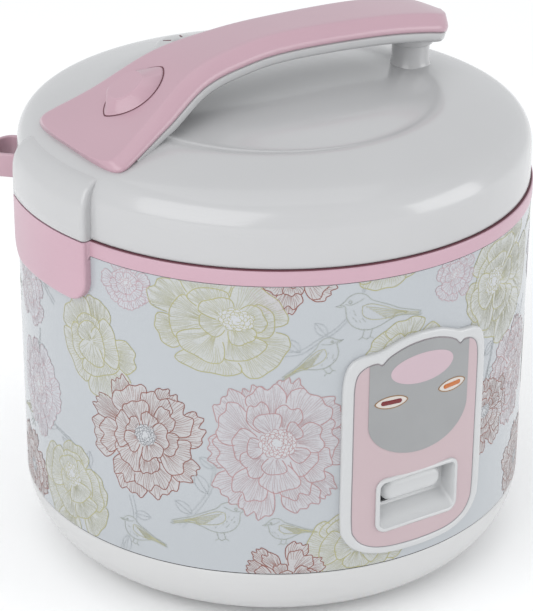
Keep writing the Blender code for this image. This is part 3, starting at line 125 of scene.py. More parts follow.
def finish_of(name, colour, roughness=0.3, variation=0.02, patch=18.0, grain=900.0, bump=0.03,
              coat=0.0, metallic=0.0, turned_marks=0.0, specular=0.5):
    """Moulded plastic, rubber, ink or metal: patches of slightly different tone over a fine grain."""
    made = bpy.data.materials.new(name)
    made.use_nodes = True
    tree = made.node_tree
    shader = tree.nodes["Principled BSDF"]
    shader.inputs["Metallic"].default_value = metallic
    shader.inputs["Coat Weight"].default_value = coat
    shader.inputs["Coat Roughness"].default_value = 0.06
    shader.inputs["Specular IOR Level"].default_value = specular
    patches = noise_on(tree, patch)
    tones = tree.nodes.new("ShaderNodeValToRGB")
    for element, position, factor in zip(tones.color_ramp.elements, (0.3, 0.7), (1 - variation, 1 + variation)):
        element.position = position
        element.color = (*(min(1.0, c * factor) for c in colour), 1.0)
    tree.links.new(patches.outputs["Fac"], tones.inputs["Fac"])
    tree.links.new(tones.outputs["Color"], shader.inputs["Base Color"])
    fine = noise_on(tree, grain, 3.0)
    tree.links.new(spread(tree, fine.outputs["Fac"], roughness * 0.85, roughness * 1.15),
                   shader.inputs["Roughness"])
    relief = node_of(tree, "ShaderNodeBump", Strength=bump, Distance=0.0004)
    tree.links.new(fine.outputs["Fac"], relief.inputs["Height"])
    tree.links.new(relief.outputs["Normal"], shader.inputs["Normal"])
    if turned_marks:
        add_turned_marks(tree, relief, shader, turned_marks)
    return made


def add_turned_marks(tree, relief, shader, strength):
    """Fine rings about the upright axis, as a lathe or a spinning tool leaves."""
    place = tree.nodes.new("ShaderNodeTexCoord")
    rings = node_of(tree, "ShaderNodeTexWave", Scale=260.0, Distortion=1.5, Detail=3.0, Detail_Scale=2.0)
    rings.wave_type = "RINGS"
    rings.rings_direction = "Z"
    tree.links.new(place.outputs["Object"], rings.inputs["Vector"])
    marks = node_of(tree, "ShaderNodeBump", Strength=strength, Distance=0.0003)
    tree.links.new(rings.outputs["Fac"], marks.inputs["Height"])
    tree.links.new(relief.outputs["Normal"], marks.inputs["Normal"])
    tree.links.new(marks.outputs["Normal"], shader.inputs["Normal"])


WHITE = finish_of("gloss_white_plastic", paint(179, 179, 180), 0.2, 0.012, coat=0.35, bump=0.02)
BASE_WHITE = finish_of("base_white_plastic", paint(193, 193, 193), 0.3, 0.012, coat=0.1, bump=0.03)
PINK = finish_of("pink_plastic", paint(179, 147, 158), 0.30, 0.02, coat=0.25, bump=0.04)
RING_PINK = finish_of("ring_pink_plastic", paint(184, 151, 163), 0.34, 0.02, coat=0.12, bump=0.03)
PALE_PINK = finish_of("pale_pink_panel", paint(180, 161, 165), 0.4, 0.015, bump=0.04)
SILVER = finish_of("silver_badge", paint(143, 144, 145), 0.34, 0.03, patch=40.0, grain=2400.0, bump=0.08)
OVAL_PINK = finish_of("oval_pink_print", paint(184, 163, 171), 0.4, 0.02, bump=0.03)
SLEEVE = finish_of("printed_sheet_ground", paint(169, 173, 177), 0.22, 0.012, patch=9.0, coat=0.25, bump=0.01)
PANEL_WHITE = finish_of("panel_white_plastic", paint(187, 188, 189), 0.24, 0.01, coat=0.3, bump=0.02)
CREAM = finish_of("liner_white_plastic", paint(190, 190, 185), 0.45, 0.015, bump=0.05)
GREY_RUBBER = finish_of("grey_rubber", paint(120, 122, 125), 0.75, 0.06, grain=500.0, bump=0.2)
SEAL_RUBBER = finish_of("white_silicone", paint(188, 190, 192), 0.6, 0.03, bump=0.08)
STEEL = finish_of("bright_steel", paint(190, 192, 196), 0.28, 0.04, metallic=1.0, bump=0.05)
WELL_STEEL = finish_of("well_aluminised_steel", paint(196, 198, 200), 0.38, 0.05, metallic=1.0,
                       turned_marks=0.12)
ALUMINIUM = finish_of("turned_aluminium", paint(206, 208, 211), 0.36, 0.04, metallic=1.0, turned_marks=0.3)
NON_STICK = finish_of("non_stick_coat", paint(62, 63, 66), 0.42, 0.12, patch=700.0, grain=1500.0, bump=0.12)
BLACK = finish_of("black_plastic", paint(34, 34, 36), 0.5, 0.08, bump=0.12)
BRASS = finish_of("brass", paint(205, 175, 105), 0.3, 0.05, metallic=1.0, bump=0.05)
BOARD = finish_of("board_green", paint(44, 110, 70), 0.45, 0.12, patch=90.0, bump=0.1)
RED_LENS = finish_of("red_lens", paint(104, 14, 22), 0.14, 0.06, patch=200.0, coat=0.15, bump=0.02)
ORANGE_LENS = finish_of("orange_lens", paint(176, 96, 30), 0.14, 0.06, patch=200.0, coat=0.15, bump=0.02)
LAMP_WHITE = finish_of("lamp_white_print", paint(196, 190, 184), 0.4, 0.02, bump=0.03)
LAMP_LINE = finish_of("lamp_bronze_line", paint(142, 112, 82), 0.35, 0.05, metallic=0.4, bump=0.03)
# Dark pink for painted shade: it fills the narrow gaps under the lid and round the button, and the vent's
# slits.
GAP_SHADE = finish_of("painted_gap_shade", paint(96, 52, 62), 0.6, 0.08, bump=0.05)



def printed(prefix, roughness, tones):
    """One finish for each printed colour, from its red, green and blue and its variation."""
    return {name: finish_of(f"{prefix}_{name}", paint(*colour), roughness, variation, patch=60.0)
            for name, (*colour, variation) in tones.items()}


INKS = printed("ink", 0.3, {
    "olive": (159, 156, 114, 0.05), "olive_hatch": (163, 162, 132, 0.05),
    "rose": (164, 129, 130, 0.05), "rose_hatch": (164, 144, 147, 0.05),
    "wine": (129, 82, 73, 0.1), "wine_hatch": (143, 110, 104, 0.1), "blush": (173, 149, 155, 0.04),
    "sage": (151, 156, 148, 0.03), "mist": (161, 166, 169, 0.02), "slate": (123, 125, 129, 0.05)})
FILLS = printed("fill", 0.28, {
    "olive": (176, 178, 176, 0.02), "rose": (177, 176, 180, 0.02), "wine": (176, 174, 175, 0.03),
    "blush": (177, 178, 183, 0.02), "white": (181, 183, 186, 0.01)})


# ---------------------------------------------------------------- shapes


def polar(radius, azimuth, z=0.0):
    """Point at a distance from the upright axis."""
    angle = math.radians(azimuth)
    return Vector((radius * math.sin(angle), -radius * math.cos(angle), z))


def mix(a, b, t):
    """The value a share t of the way from a to b."""
    return a + (b - a) * t


def smooth_path(points, steps):
    """Catmull-Rom curve through 2-D points, with the given steps per span."""
    ends = [points[0], *points, points[-1]]
    path = []
    for before, start, end, after in zip(ends, ends[1:], ends[2:], ends[3:]):
        for k in range(steps):
            t = k / steps
            path.append(tuple(
                0.5 * (2 * b + (c - a) * t + (2 * a - 5 * b + 4 * c - d) * t * t
                       + (3 * b - a - 3 * c + d) * t ** 3)
                for a, b, c, d in zip(before, start, end, after)))
    path.append(tuple(points[-1]))
    return path


def interpolate(table, x):
    """Smooth value at x of a short table of (x, value) pairs."""
    path = smooth_path(table, 10)
    for (x0, value0), (x1, value1) in zip(path, path[1:]):
        if x <= x1:
            return mix(value0, value1, max(0.0, x - x0) / (x1 - x0))
    return path[-1][1]


def arc(centre, radius, start, end, steps):
    """Points on an arc, angles in degrees; radius may be a pair for an ellipse."""
    wide, high = radius if isinstance(radius, tuple) else (radius, radius)
    angles = [math.radians(mix(start, end, k / steps)) for k in range(steps + 1)]
    return [(centre[0] + wide * math.cos(a), centre[1] + high * math.sin(a)) for a in angles]


def rounded_rectangle(left, right, low, top, corner, steps=8):
    """Closed outline, from the middle of its low side round to the right."""
    return (arc((right - corner, low + corner), corner, -90, 0, steps)
            + arc((right - corner, top - corner), corner, 0, 90, steps)
            + arc((left + corner, top - corner), corner, 90, 180, steps)
            + arc((left + corner, low + corner), corner, 180, 270, steps))


def rounded(outline, radius, steps=3):
    """A closed (r, z) outline with its corners rounded; corners on the axis stay."""
    result = []
    for k, corner in enumerate(outline):
        here, before = Vector(corner), Vector(outline[k - 1])
        after = Vector(outline[(k + 1) % len(outline)])
        if corner[0] == 0.0:
            result.append(corner)
            continue
        back, ahead = before - here, after - here
        start = here + back.normalized() * min(radius, back.length * 0.45)
        end = here + ahead.normalized() * min(radius, ahead.length * 0.45)
        for n in range(steps + 1):
            t = n / steps
            result.append(tuple(start * (1 - t) ** 2 + here * 2 * t * (1 - t) + end * t * t))
    return result


def object_of(name, shape):
    """An object in the scene made from a shape, which is used up."""
    mesh = bpy.data.meshes.new(name)
    shape.to_mesh(mesh)
    shape.free()
    made = bpy.data.objects.new(name, mesh)
    bpy.context.scene.collection.objects.link(made)
    return made


def add_piece(name, shape, body, finish, stands_for=(), sharp=38):
    """Makes a shown piece that rides on a body and may stand for CAD nodes."""
    bmesh.ops.recalc_face_normals(shape, faces=shape.faces)
    piece = object_of(name, shape)
    piece.data.materials.append(finish)
    piece.data.shade_smooth()
    piece.data.set_sharp_from_angle(angle=math.radians(sharp))
    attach(piece, body)
    if stands_for:
        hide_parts(*stands_for)
    return piece


def skinned(shape, sections, closed=False):
    """Adds a skin through rings of points to a shape and gives the rings' vertices."""
    rings = [[shape.verts.new(point) for point in section] for section in sections]
    for ring, following in zip(rings, rings[1:] + (rings[:1] if closed else [])):
        for i in range(len(ring)):
            j = (i + 1) % len(ring)
            shape.faces.new((ring[i], ring[j], following[j], following[i]))
    return rings


def lofted(sections, closed=False, target=None):
    """Solid through rings of points, with end faces unless it closes on itself."""
    shape = target or bmesh.new()
    rings = skinned(shape, sections, closed)
    if not closed:
        shape.faces.new(rings[0])
        shape.faces.new(rings[-1])
    return shape


def turned(outline, segments=SEGMENTS, centre=(0.0, 0.0), target=None):
    """Solid turned about an upright axis from a closed (radius, z) outline."""
    offset = Vector((*centre, 0.0))
    sections = [[polar(r, 360.0 * k / segments, z) + offset for r, z in outline]
                for k in range(segments)]
    shape = lofted(sections, closed=True, target=target)
    bmesh.ops.remove_doubles(shape, verts=shape.verts, dist=1e-7)
    return shape


def rod(radius, start, end, sides=16, target=None):
    """Round bar between two points, its ends slightly rounded off."""
    along = Vector(end) - Vector(start)
    turn = Vector((0, 0, 1)).rotation_difference(along).to_matrix()
    sections = []
    for t, share in ((0.0, 0.82), (0.03, 1.0), (0.97, 1.0), (1.0, 0.82)):
        ring = [turn @ Vector((radius * share * math.cos(a), radius * share * math.sin(a), 0.0))
                for a in (2 * math.pi * k / sides for k in range(sides))]
        sections.append([Vector(start) + along * t + p for p in ring])
    return lofted(sections, target=target)


def on_sleeve(u, z, radius=BODY_RADIUS):
    """Point in space of a print place (u, z), at a radius."""
    angle = u / BODY_RADIUS
    return Vector((radius * math.sin(angle), -radius * math.cos(angle), z))


def arc_length(azimuth):
    """The u of an azimuth."""
    return math.radians(azimuth) * BODY_RADIUS


def wrapped(outlines, inner, outer, pitch=0.0022):
    """Plate bent round the body from (u, z) outlines: the first is its edge, the rest are holes."""
    sheet = bmesh.new()
    for outline in outlines:
        ring = [sheet.verts.new((u, 0.0, z)) for u, z in outline]
        for a, b in zip(ring, ring[1:] + ring[:1]):
            sheet.edges.new((a, b))
    bmesh.ops.triangle_fill(sheet, use_beauty=True, edges=sheet.edges[:], normal=(0, 1, 0))
    left, right = min(u for u, z in outlines[0]), max(u for u, z in outlines[0])
    for k in range(1, int((right - left) / pitch) + 1):
        bmesh.ops.bisect_plane(sheet, geom=sheet.verts[:] + sheet.edges[:] + sheet.faces[:], dist=1e-7,
                               plane_co=(left + k * pitch + 1.3e-5, 0, 0), plane_no=(1, 0, 0))
    shape = bmesh.new()
    sides = [{v: shape.verts.new(on_sleeve(v.co.x, v.co.z, radius)) for v in sheet.verts}
             for radius in (inner, outer)]
    for side in sides:
        for face in sheet.faces:
            shape.faces.new([side[v] for v in face.verts])
    for edge in sheet.edges:
        if len(edge.link_faces) == 1:
            a, b = edge.verts
            shape.faces.new((sides[0][a], sides[0][b], sides[1][b], sides[1][a]))
    sheet.free()
    return shape


# ---------------------------------------------------------------- base, sleeve and ring


def base_profile(wall=0.0, steps=26):
    """The base's rounded side from its flat bottom to its top edge."""
    wide = BODY_RADIUS - BASE_FLAT_RADIUS - wall
    tall = BASE_TOP - FOOT_HEIGHT - wall
    points = []
    for k in range(steps + 1):
        t = math.pi / 2 * k / steps
        points.append((BASE_FLAT_RADIUS + wide * math.sin(t) ** (2 / 1.8),
                       BASE_TOP - tall * max(0.0, math.cos(t)) ** (2 / 1.8)))
    return points


def make_base():
    """The white base with its rounded side, the ribs under it and its feet."""
    lip = 0.0008
    outer = base_profile()
    outline = [(0.0, 0.0052), (0.0560, 0.0052), (0.0572, 0.0044), (0.0600, 0.0044), (0.0612, 0.0052),
               (0.0950, 0.0052), (0.0962, 0.0041), *outer[:-1],
               (BODY_RADIUS, BASE_TOP - lip), (BODY_RADIUS - lip, BASE_TOP),
               (0.1302, BASE_TOP), (0.1302, 0.0370),
               *[(r, z) for r, z in base_profile(0.002)[::-1] if z < 0.036],
               (0.0960, 0.0066), (0.0, 0.0066)]
    add_piece("base_shell", turned(outline), "root", BASE_WHITE, ["base_cup"], sharp=50)
    ribs = bmesh.new()
    for k in range(24):
        azimuth = 15.0 * k + 7.5
        corners = [polar(r, azimuth + side * 1.1 * 0.064 / r, 0.0050)
                   for r, side in ((0.064, -1), (0.064, 1), (0.082, 1), (0.082, -1))]
        lofted([corners, [p + Vector((0, 0, -0.0006)) for p in corners]], target=ribs)
    add_piece("base_vent_ribs", ribs, "root", GREY_RUBBER)
    foot = rounded([(0.0, 0.0), (0.0068, 0.0), (0.0090, 0.0016), (0.0090, 0.0040), (0.0, 0.0040)], 0.0008)
    for k in range(4):
        centre = polar(0.088, 45 + 90 * k)
        add_piece(f"rubber_foot_{k + 1}", turned(foot, 40, (centre.x, centre.y)), "root", GREY_RUBBER,
                  [f"foot_{k + 1}"])


SLEEVE_HOLES = ((-0.0243, 0.0243, 0.0583, 0.0887),
                (math.pi * BODY_RADIUS - 0.0150, math.pi * BODY_RADIUS + 0.0150,
                 INLET_Z - 0.0108, INLET_Z + 0.0108))  # (left, right, low, high) in (u, z)


def make_sleeve():
    """The printed sheet, with openings for the lever's recess and the power inlet."""
    around = 2 * math.pi * BODY_RADIUS
    across = sorted({around * k / 180 - 0.2 * around for k in range(180)}
                    | {u for left, right, _, _ in SLEEVE_HOLES for u in (left, right)})
    levels = sorted({mix(SLEEVE_LOW, SLEEVE_TOP, k / 6) for k in range(7)}
                    | {z for _, _, low, high in SLEEVE_HOLES for z in (low, high)})
    shape = bmesh.new()
    outer, inner = ([[shape.verts.new(on_sleeve(u, z, radius)) for z in levels] for u in across]
                    for radius in (BODY_RADIUS, BODY_RADIUS - 0.0012))
    for i, (u0, u1) in enumerate(zip(across, across[1:] + [across[0] + around])):
        for j, (z0, z1) in enumerate(zip(levels, levels[1:])):
            if any(h[0] < (u0 + u1) / 2 < h[1] and h[2] < (z0 + z1) / 2 < h[3] for h in SLEEVE_HOLES):
                continue
            k = (i + 1) % len(across)
            for grid in (outer, inner):
                shape.faces.new((grid[i][j], grid[k][j], grid[k][j + 1], grid[i][j + 1]))
    partner = {a: b for row, other in zip(outer, inner) for a, b in zip(row, other)}
    rims = [e for e in shape.edges
            if len(e.link_faces) == 1 and e.verts[0] in partner and e.verts[1] in partner]
    for a, b in [edge.verts for edge in rims]:
        shape.faces.new((a, b, partner[b], partner[a]))
    for vert in [v for v in shape.verts if not v.link_faces]:
        shape.verts.remove(vert)
    add_piece("printed_sleeve", shape, "root", SLEEVE, ["body_sleeve"], sharp=50)


def ring_tab(azimuth, half_angle, target):
    """A bent tab of the ring with a straight top, round lower corners and a rounded front edge."""
    half = arc_length(half_angle)
    middle = arc_length(azimuth)
    low, top, corner, edge, outer = TAB_LOW, RING_TOP, TAB_CORNER, TAB_EDGE, TAB_RADIUS

    def outline(inset):
        """The tab's (u, z) outline, moved inwards."""
        wide, bottom = half - inset, low + inset
        round_corner = corner - inset
        points = arc((wide - round_corner, bottom + round_corner), round_corner, -90, 0, 14)
        points += [(wide, mix(bottom + round_corner, top, k / 4)) for k in range(1, 5)]
        points += [(mix(wide, -wide, k / 24), top) for k in range(1, 24)]
        points += [(-wide, mix(top, bottom + round_corner, k / 4)) for k in range(4)]
        points += arc((round_corner - wide, bottom + round_corner), round_corner, 180, 270, 14)
        points += [(mix(round_corner - wide, wide - round_corner, k / 16), bottom) for k in range(1, 16)]
        return points

    sections = []
    for inset, radius in ((0.0, TAB_INNER_RADIUS), (0.0, outer - edge), (edge * 0.13, outer - edge * 0.5),
                          (edge * 0.5, outer - edge * 0.13), (edge, outer)):
        sections.append([on_sleeve(middle + u, z, radius) for u, z in outline(inset)])
    rows = 10
    last = outline(edge)
    centre_z = (low + top) / 2
    for k in range(1, rows):
        t = 1 - k / rows
        sections.append([on_sleeve(middle + u * t, centre_z + (z - centre_z) * t, outer)
                         for u, z in last])
    return lofted(sections, target=target)


def cut_box(piece, low, high):
    """Take a box-shaped opening out of a piece."""
    shape = lofted([[(low[0], low[1], z), (high[0], low[1], z), (high[0], high[1], z), (low[0], high[1], z)]
                    for z in (low[2], high[2])])
    bmesh.ops.recalc_face_normals(shape, faces=shape.faces)
    tool = object_of("opening", shape)
    opening = piece.modifiers.new("opening", "BOOLEAN")
    opening.operation, opening.solver, opening.use_self, opening.object = "DIFFERENCE", "EXACT", True, tool
    graph = bpy.context.evaluated_depsgraph_get()
    piece.data = bpy.data.meshes.new_from_object(piece.evaluated_get(graph))
    piece.modifiers.remove(opening)
    bpy.data.meshes.remove(tool.data)


def make_ring():
    """The pink ring round the body's top with its tabs and hinge ears, and dark rings of painted shade in the
    gaps under the lid and above the base.
    """
    outline = rounded([(0.1115, 0.2022), (0.1195, 0.2022), (0.1195, RING_TOP), (RING_RADIUS, RING_TOP),
                       (RING_RADIUS, RING_LOW), (0.1306, RING_LOW), (0.1306, 0.1905), (0.1290, 0.1905),
                       (0.1290, 0.2003), (0.1115, 0.2003)], 0.0006)
    ring = turned(outline)
    ring_tab(LATCH_AZIMUTH, TAB_HALF_ANGLE, ring)
    ring_tab(HINGE_AZIMUTH, HINGE_TAB_HALF_ANGLE, ring)
    ear = [(HINGE_X - KNUCKLE_RADIUS, RING_TOP - 0.002),
           *arc((HINGE_X, HINGE_Z), KNUCKLE_RADIUS, 180, 0, 16),
           (HINGE_X + KNUCKLE_RADIUS, RING_TOP - 0.002)]
    for side in (-1, 1):
        lofted([[(x, y, z) for x, z in ear] for y in (side * 0.0119, side * 0.0219)], target=ring)
    piece = add_piece("pink_ring", ring, "root", RING_PINK, ["upper_ring"])
    cut_box(piece, LATCH_SLOT_LOW, LATCH_SLOT_HIGH)
    # A dark ring of painted shade in the gap between the ring and the lid.
    lid_gap_ring = [(0.1290, RING_TOP - 0.0004), (0.13185, RING_TOP - 0.0004), (0.13185, LID_LOW - 0.00005),
            (0.1290, LID_LOW - 0.00005)]
    add_piece("ring_lid_gap_shade", turned(lid_gap_ring), "root", GAP_SHADE)
    # A black ring of painted shade in the narrow gap between the base and the sleeve.
    base_gap_ring = [(0.1300, BASE_TOP - 0.0006), (0.1316, BASE_TOP - 0.0006), (0.1316, SLEEVE_LOW + 0.0002),
              (0.1300, SLEEVE_LOW + 0.0002)]
    add_piece("base_gap_shade", turned(base_gap_ring), "root", BLACK)


def make_scoop_holder():
    """A D-shaped loop with rounded edges that holds the rice scoop."""
    half, middle, reach, wall = 0.0128, 0.1425, 0.1508, 0.0012
    path = [(-half, 0.1318), (-half, 0.1345), (-half, 0.1385)]
    path += [(-half * math.cos(math.pi * k / 20), middle + (reach - middle) * math.sin(math.pi * k / 20))
             for k in range(21)]
    path += [(half, 0.1385), (half, 0.1345), (half, 0.1318)]
    tall = 0.0130
    section = rounded_rectangle(-wall, wall, -tall / 2, tall / 2, 0.0009, 4)
    turn = Matrix.Rotation(math.radians(-134.0), 4, "Z")
    sections = []
    for k, (x, r) in enumerate(path):
        before, after = path[max(k - 1, 0)], path[min(k + 1, len(path) - 1)]
        across = Vector((after[1] - before[1], -(after[0] - before[0]))).normalized()
        sections.append([turn @ Vector((x + across.x * a, -(r + across.y * a), 0.1965 + b))
                         for a, b in section])
    add_piece("scoop_loop", lofted(sections), "root", PINK, ["scoop_holder"])


# ---------------------------------------------------------------- print on the sleeve


class Print:
    """Ink strokes and tinted areas on the sleeve, drawn front to back: nearer shapes hide others."""

    def __init__(self):
        """Starts with no ink and no masks."""
        self.strokes = {name: bmesh.new() for name in INKS}
        self.areas = {name: bmesh.new() for name in FILLS}
        self.masks = []

    def hidden(self, point, masks):
        """Whether a point lies inside one of the masks."""
        x, y = point
        for (left, right, low, top), polygon in masks:
            if not (left < x < right and low < y < top):
                continue
            inside = False
            for (x0, y0), (x1, y1) in zip(polygon, polygon[1:] + polygon[:1]):
                if (y0 > y) != (y1 > y) and x < (x1 - x0) * (y - y0) / (y1 - y0) + x0:
                    inside = not inside
            if inside:
                return True
        return False

    def near(self, points):
        """The masks that a run of points could be hidden by."""
        left, right = min(p[0] for p in points), max(p[0] for p in points)
        low, top = min(p[1] for p in points), max(p[1] for p in points)
        return [m for m in self.masks if m[0][0] < right and m[0][1] > left and m[0][2] < top and m[0][3] > low]

    def add_mask(self, polygon):
        """Hides what is drawn later inside a polygon."""
        xs, ys = [p[0] for p in polygon], [p[1] for p in polygon]
        self.masks.append(((min(xs), max(xs), min(ys), max(ys)), polygon))

    def stroke(self, ink, points, width, taper=False):
        """A ribbon of ink along points, left out where something hides it or off the sleeve."""
        masks = self.near(points)
        run = []
        for start, end in zip(points, points[1:]):
            middle = ((start[0] + end[0]) / 2, (start[1] + end[1]) / 2)
            if SLEEVE_LOW < middle[1] < SLEEVE_TOP and not self.hidden(middle, masks):
                run = run or [start]
                run.append(end)
            elif run:
                self.ribbon(ink, run, width, taper)
                run = []
        if run:
            self.ribbon(ink, run, width, taper)

    def ribbon(self, ink, run, width, taper):
        """The faces of one visible ribbon of ink."""
        shape = self.strokes[ink]
        rows = []
        for k, (u, z) in enumerate(run):
            before, after = run[max(k - 1, 0)], run[min(k + 1, len(run) - 1)]
            du, dz = after[0] - before[0], after[1] - before[1]
            length = math.hypot(du, dz) or 1.0
            half = width / 2
            if taper:
                half *= 1.0 - 0.65 * k / (len(run) - 1)
            nu, nz = -dz / length * half, du / length * half
            radius = BODY_RADIUS + INK_OFFSET
            rows.append((shape.verts.new(on_sleeve(u + nu, min(max(z + nz, SLEEVE_LOW), SLEEVE_TOP), radius)),
                         shape.verts.new(on_sleeve(u - nu, min(max(z - nz, SLEEVE_LOW), SLEEVE_TOP), radius))))
        for (a, b), (c, d) in zip(rows, rows[1:]):
            shape.faces.new((a, b, d, c))

    def area(self, tint, outline, centre, rings=8, offset=FILL_OFFSET):
        """Tinted area that is star shaped about its centre, cut off at the sleeve's edges."""
        shares = [n / rings for n in range(rings + 1)]
        skinned(self.areas[tint], [[on_sleeve(
            mix(centre[0], u, share), min(max(mix(centre[1], z, share), SLEEVE_LOW), SLEEVE_TOP),
            BODY_RADIUS + offset) for u, z in outline] for share in shares])

    def make_pieces(self):
        """Turns what was drawn into pieces, one for each colour in use."""
        for name, shape in self.areas.items():
            cut_openings(shape)
            bmesh.ops.remove_doubles(shape, verts=shape.verts, dist=1e-7)
            flat = [f for f in shape.faces if f.calc_area() < 1e-12]
            bmesh.ops.delete(shape, geom=flat, context="FACES_ONLY")
            loose = [v for v in shape.verts if not v.link_faces]
            bmesh.ops.delete(shape, geom=loose, context="VERTS")
            if shape.faces:
                add_piece(f"print_area_{name}", shape, "root", FILLS[name])
        for name, shape in self.strokes.items():
            cut_openings(shape)
            if shape.faces:
                add_piece(f"print_lines_{name}", shape, "root", INKS[name])


PRINT_OPENINGS = ((-1, 0.0225, 0.0560, 0.0890),
                  (1, 0.0140, INLET_Z - 0.0100, INLET_Z + 0.0100))  # (side in y, half width, low, high)


def cut_openings(shape):
    """Leaves the print out of the lever's window and the cord socket."""
    for side, half, low, high in PRINT_OPENINGS:
        for spot, normal in (((-half, 0, 0), (1, 0, 0)), ((half, 0, 0), (1, 0, 0)),
                             ((0, 0, low), (0, 0, 1)), ((0, 0, high), (0, 0, 1))):
            near = [f for f in shape.faces if f.calc_center_median().y * side > 0]
            parts = near + [e for f in near for e in f.edges] + [v for f in near for v in f.verts]
            bmesh.ops.bisect_plane(shape, geom=list(dict.fromkeys(parts)), dist=1e-6,
                                   plane_co=spot, plane_no=normal)
        inside = []
        for face in shape.faces:
            x, y, z = face.calc_center_median()
            if y * side > 0 and abs(x) < half and low < z < high:
                inside.append(face)
        bmesh.ops.delete(shape, geom=inside, context="FACES")


# Widths of the drawn lines and the distance between hatch lines; small flowers have finer outlines
OUTLINE_WIDTH, SMALL_OUTLINE_WIDTH = 0.00046, 0.00034
HATCH_PITCH, SMALL_HATCH_PITCH = 0.0013, 0.0016
HATCH_WIDTH = 0.00029
STAMEN_WIDTH = 0.00028
GOLDEN_ANGLE = 2.39996
JITTER = 0.22


class Flower:
    """One printed flower: its place, size and tilt, and the way from its own plane to the sleeve."""

    def __init__(self, azimuth, z, width, height, tilt, seed):
        """Takes its middle's azimuth and height, its size, its tilt in degrees and its random seed."""
        self.u = arc_length(azimuth)
        self.z = z
        self.half = (width / 2, height / 2)
        self.turn = math.radians(tilt)
        self.random = random.Random(seed)

    def place(self, points):
        """Points from the flower's own plane, where its edge is near distance 1, to the sleeve."""
        c, s = math.cos(self.turn), math.sin(self.turn)
        sized = [(x * self.half[0], y * self.half[1]) for x, y in points]
        return [(self.u + x * c - y * s, self.z + x * s + y * c) for x, y in sized]


def petal(heading, start, length, half_width, shift, draw, lobes, ripple, pinch, notch):
    """Outline points and a function for lines along a petal, in the flower's own plane."""
    phase = draw.uniform(0, math.tau)
    lean = draw.uniform(-0.16, 0.16) * length
    c, s = math.cos(heading), math.sin(heading)

    def spot(across, along):
        """Place in the flower's plane of a point across and along the petal."""
        narrow = pinch + (1 - pinch) * min(1.0, along / (0.7 * length)) ** 0.8
        a = across * narrow + lean * (along / length) ** 2
        r = start + along
        return shift[0] + r * c - a * s, shift[1] + r * s + a * c

    def tip(share):
        """Height of the petal's edge at a share of its half width."""
        full = length * (1 - abs(share) ** 2.6) ** 0.42
        wave = ripple * length * math.cos(lobes * share * 3.1 + phase)
        dent = notch * length * math.exp(-(share / 0.22) ** 2)
        return max(0.05 * length, full + (wave - dent) * (1 - share ** 4))

    count = 30
    shares = [-math.cos(math.pi * k / count) for k in range(count + 1)]
    outline = [spot(half_width * q, tip(q)) for q in shares]
    foot = [spot(half_width * q, 0.0) for q in (0.6, 0.0, -0.6)]

    def line(share, first, last):
        """A hatch line up the petal at a share of its half width, over part of its length."""
        high = tip(share)
        return [spot(half_width * share * (0.55 + 0.45 * t), high * t)
                for t in (mix(first, last, k / 7) for k in range(8))]

    return outline, outline + foot, line


def draw_petal(ink, flower, sheet, shape, hatches, outline_width):
    """Draws one petal with its hatching and hides what comes behind it."""
    outline, polygon, line = shape
    sheet.stroke(ink, flower.place(outline), outline_width)
    hatch_ink = f"{ink}_hatch" if f"{ink}_hatch" in INKS else ink
    draw = flower.random
    for k in range(hatches):
        share = mix(-0.86, 0.86, (k + 0.5 + draw.uniform(-0.2, 0.2)) / hatches)
        if draw.random() < 0.62:
            first, last = draw.uniform(0.02, 0.12), draw.uniform(0.78, 0.97)
        else:
            first, last = 0.985, draw.uniform(0.3, 0.6)
        sheet.stroke(hatch_ink, flower.place(line(share, first, last)), HATCH_WIDTH, True)
    sheet.add_mask(flower.place(polygon))


def draw_stamens(ink, flower, sheet, centre, radius, count):
    """A cluster of small scale-like loops round a flower's middle."""
    draw = flower.random
    for k in range(count):
        share = math.sqrt((k + 0.5) / count)
        angle = k * GOLDEN_ANGLE
        x = centre[0] + radius[0] * share * math.cos(angle)
        y = centre[1] + radius[1] * share * math.sin(angle)
        size = 0.052 * draw.uniform(0.8, 1.2)
        facing = angle + draw.uniform(-0.4, 0.4)
        turns = [facing + math.radians(q) for q in range(-115, 116, 33)]
        loop = [(x + size * math.cos(a), y + size * math.sin(a)) for a in turns]
        sheet.stroke(ink, flower.place(loop), STAMEN_WIDTH)


def draw_flower(sheet, flower, ink, rings, centre, core, stamens, core_ink, small):
    """Rings of petals from the middle outwards. Each ring is
    (count, start, length, half width, lobes, ripple, pinch, notch), in shares of the flower's half size."""
    draw = flower.random
    first_mask = len(sheet.masks)
    if stamens:
        core_outline = flower.place([(centre[0] + core[0] * math.cos(math.tau * k / 36),
                                      centre[1] + core[1] * math.sin(math.tau * k / 36)) for k in range(36)])
        draw_stamens(core_ink, flower, sheet, centre, (core[0] * 0.88, core[1] * 0.88), stamens)
        sheet.area("white", core_outline, flower.place([centre])[0], 3, FILL_OFFSET * 1.7)
        sheet.add_mask(core_outline)
    polygons = []
    for number, (petals, start, length, half_width, *edge) in enumerate(rings):
        nearness = 1 - (number + 1) / len(rings)
        shift = (centre[0] * nearness, centre[1] * nearness)
        turn = draw.uniform(0, math.tau)
        order = list(range(petals))
        draw.shuffle(order)
        wide = 2 * half_width * (flower.half[0] + flower.half[1]) / 2
        hatches = max(3, int(wide / (SMALL_HATCH_PITCH if small else HATCH_PITCH)))
        for k in order:
            heading = turn + math.tau * k / petals + draw.uniform(-JITTER, JITTER)
            grown = 1 + draw.uniform(-JITTER, JITTER) * 0.8
            shape = petal(heading, start, length * grown, half_width * (1 + draw.uniform(-0.3, 0.3)),
                          shift, draw, *edge)
            draw_petal(ink, flower, sheet, shape, hatches, SMALL_OUTLINE_WIDTH if small else OUTLINE_WIDTH)
            polygons.append(shape[1])
    silhouette = flower.place(outer_edge(polygons))
    sheet.area(ink, silhouette, flower.place([(0.0, 0.0)])[0])
    sheet.masks[first_mask:] = []
    sheet.add_mask(silhouette)


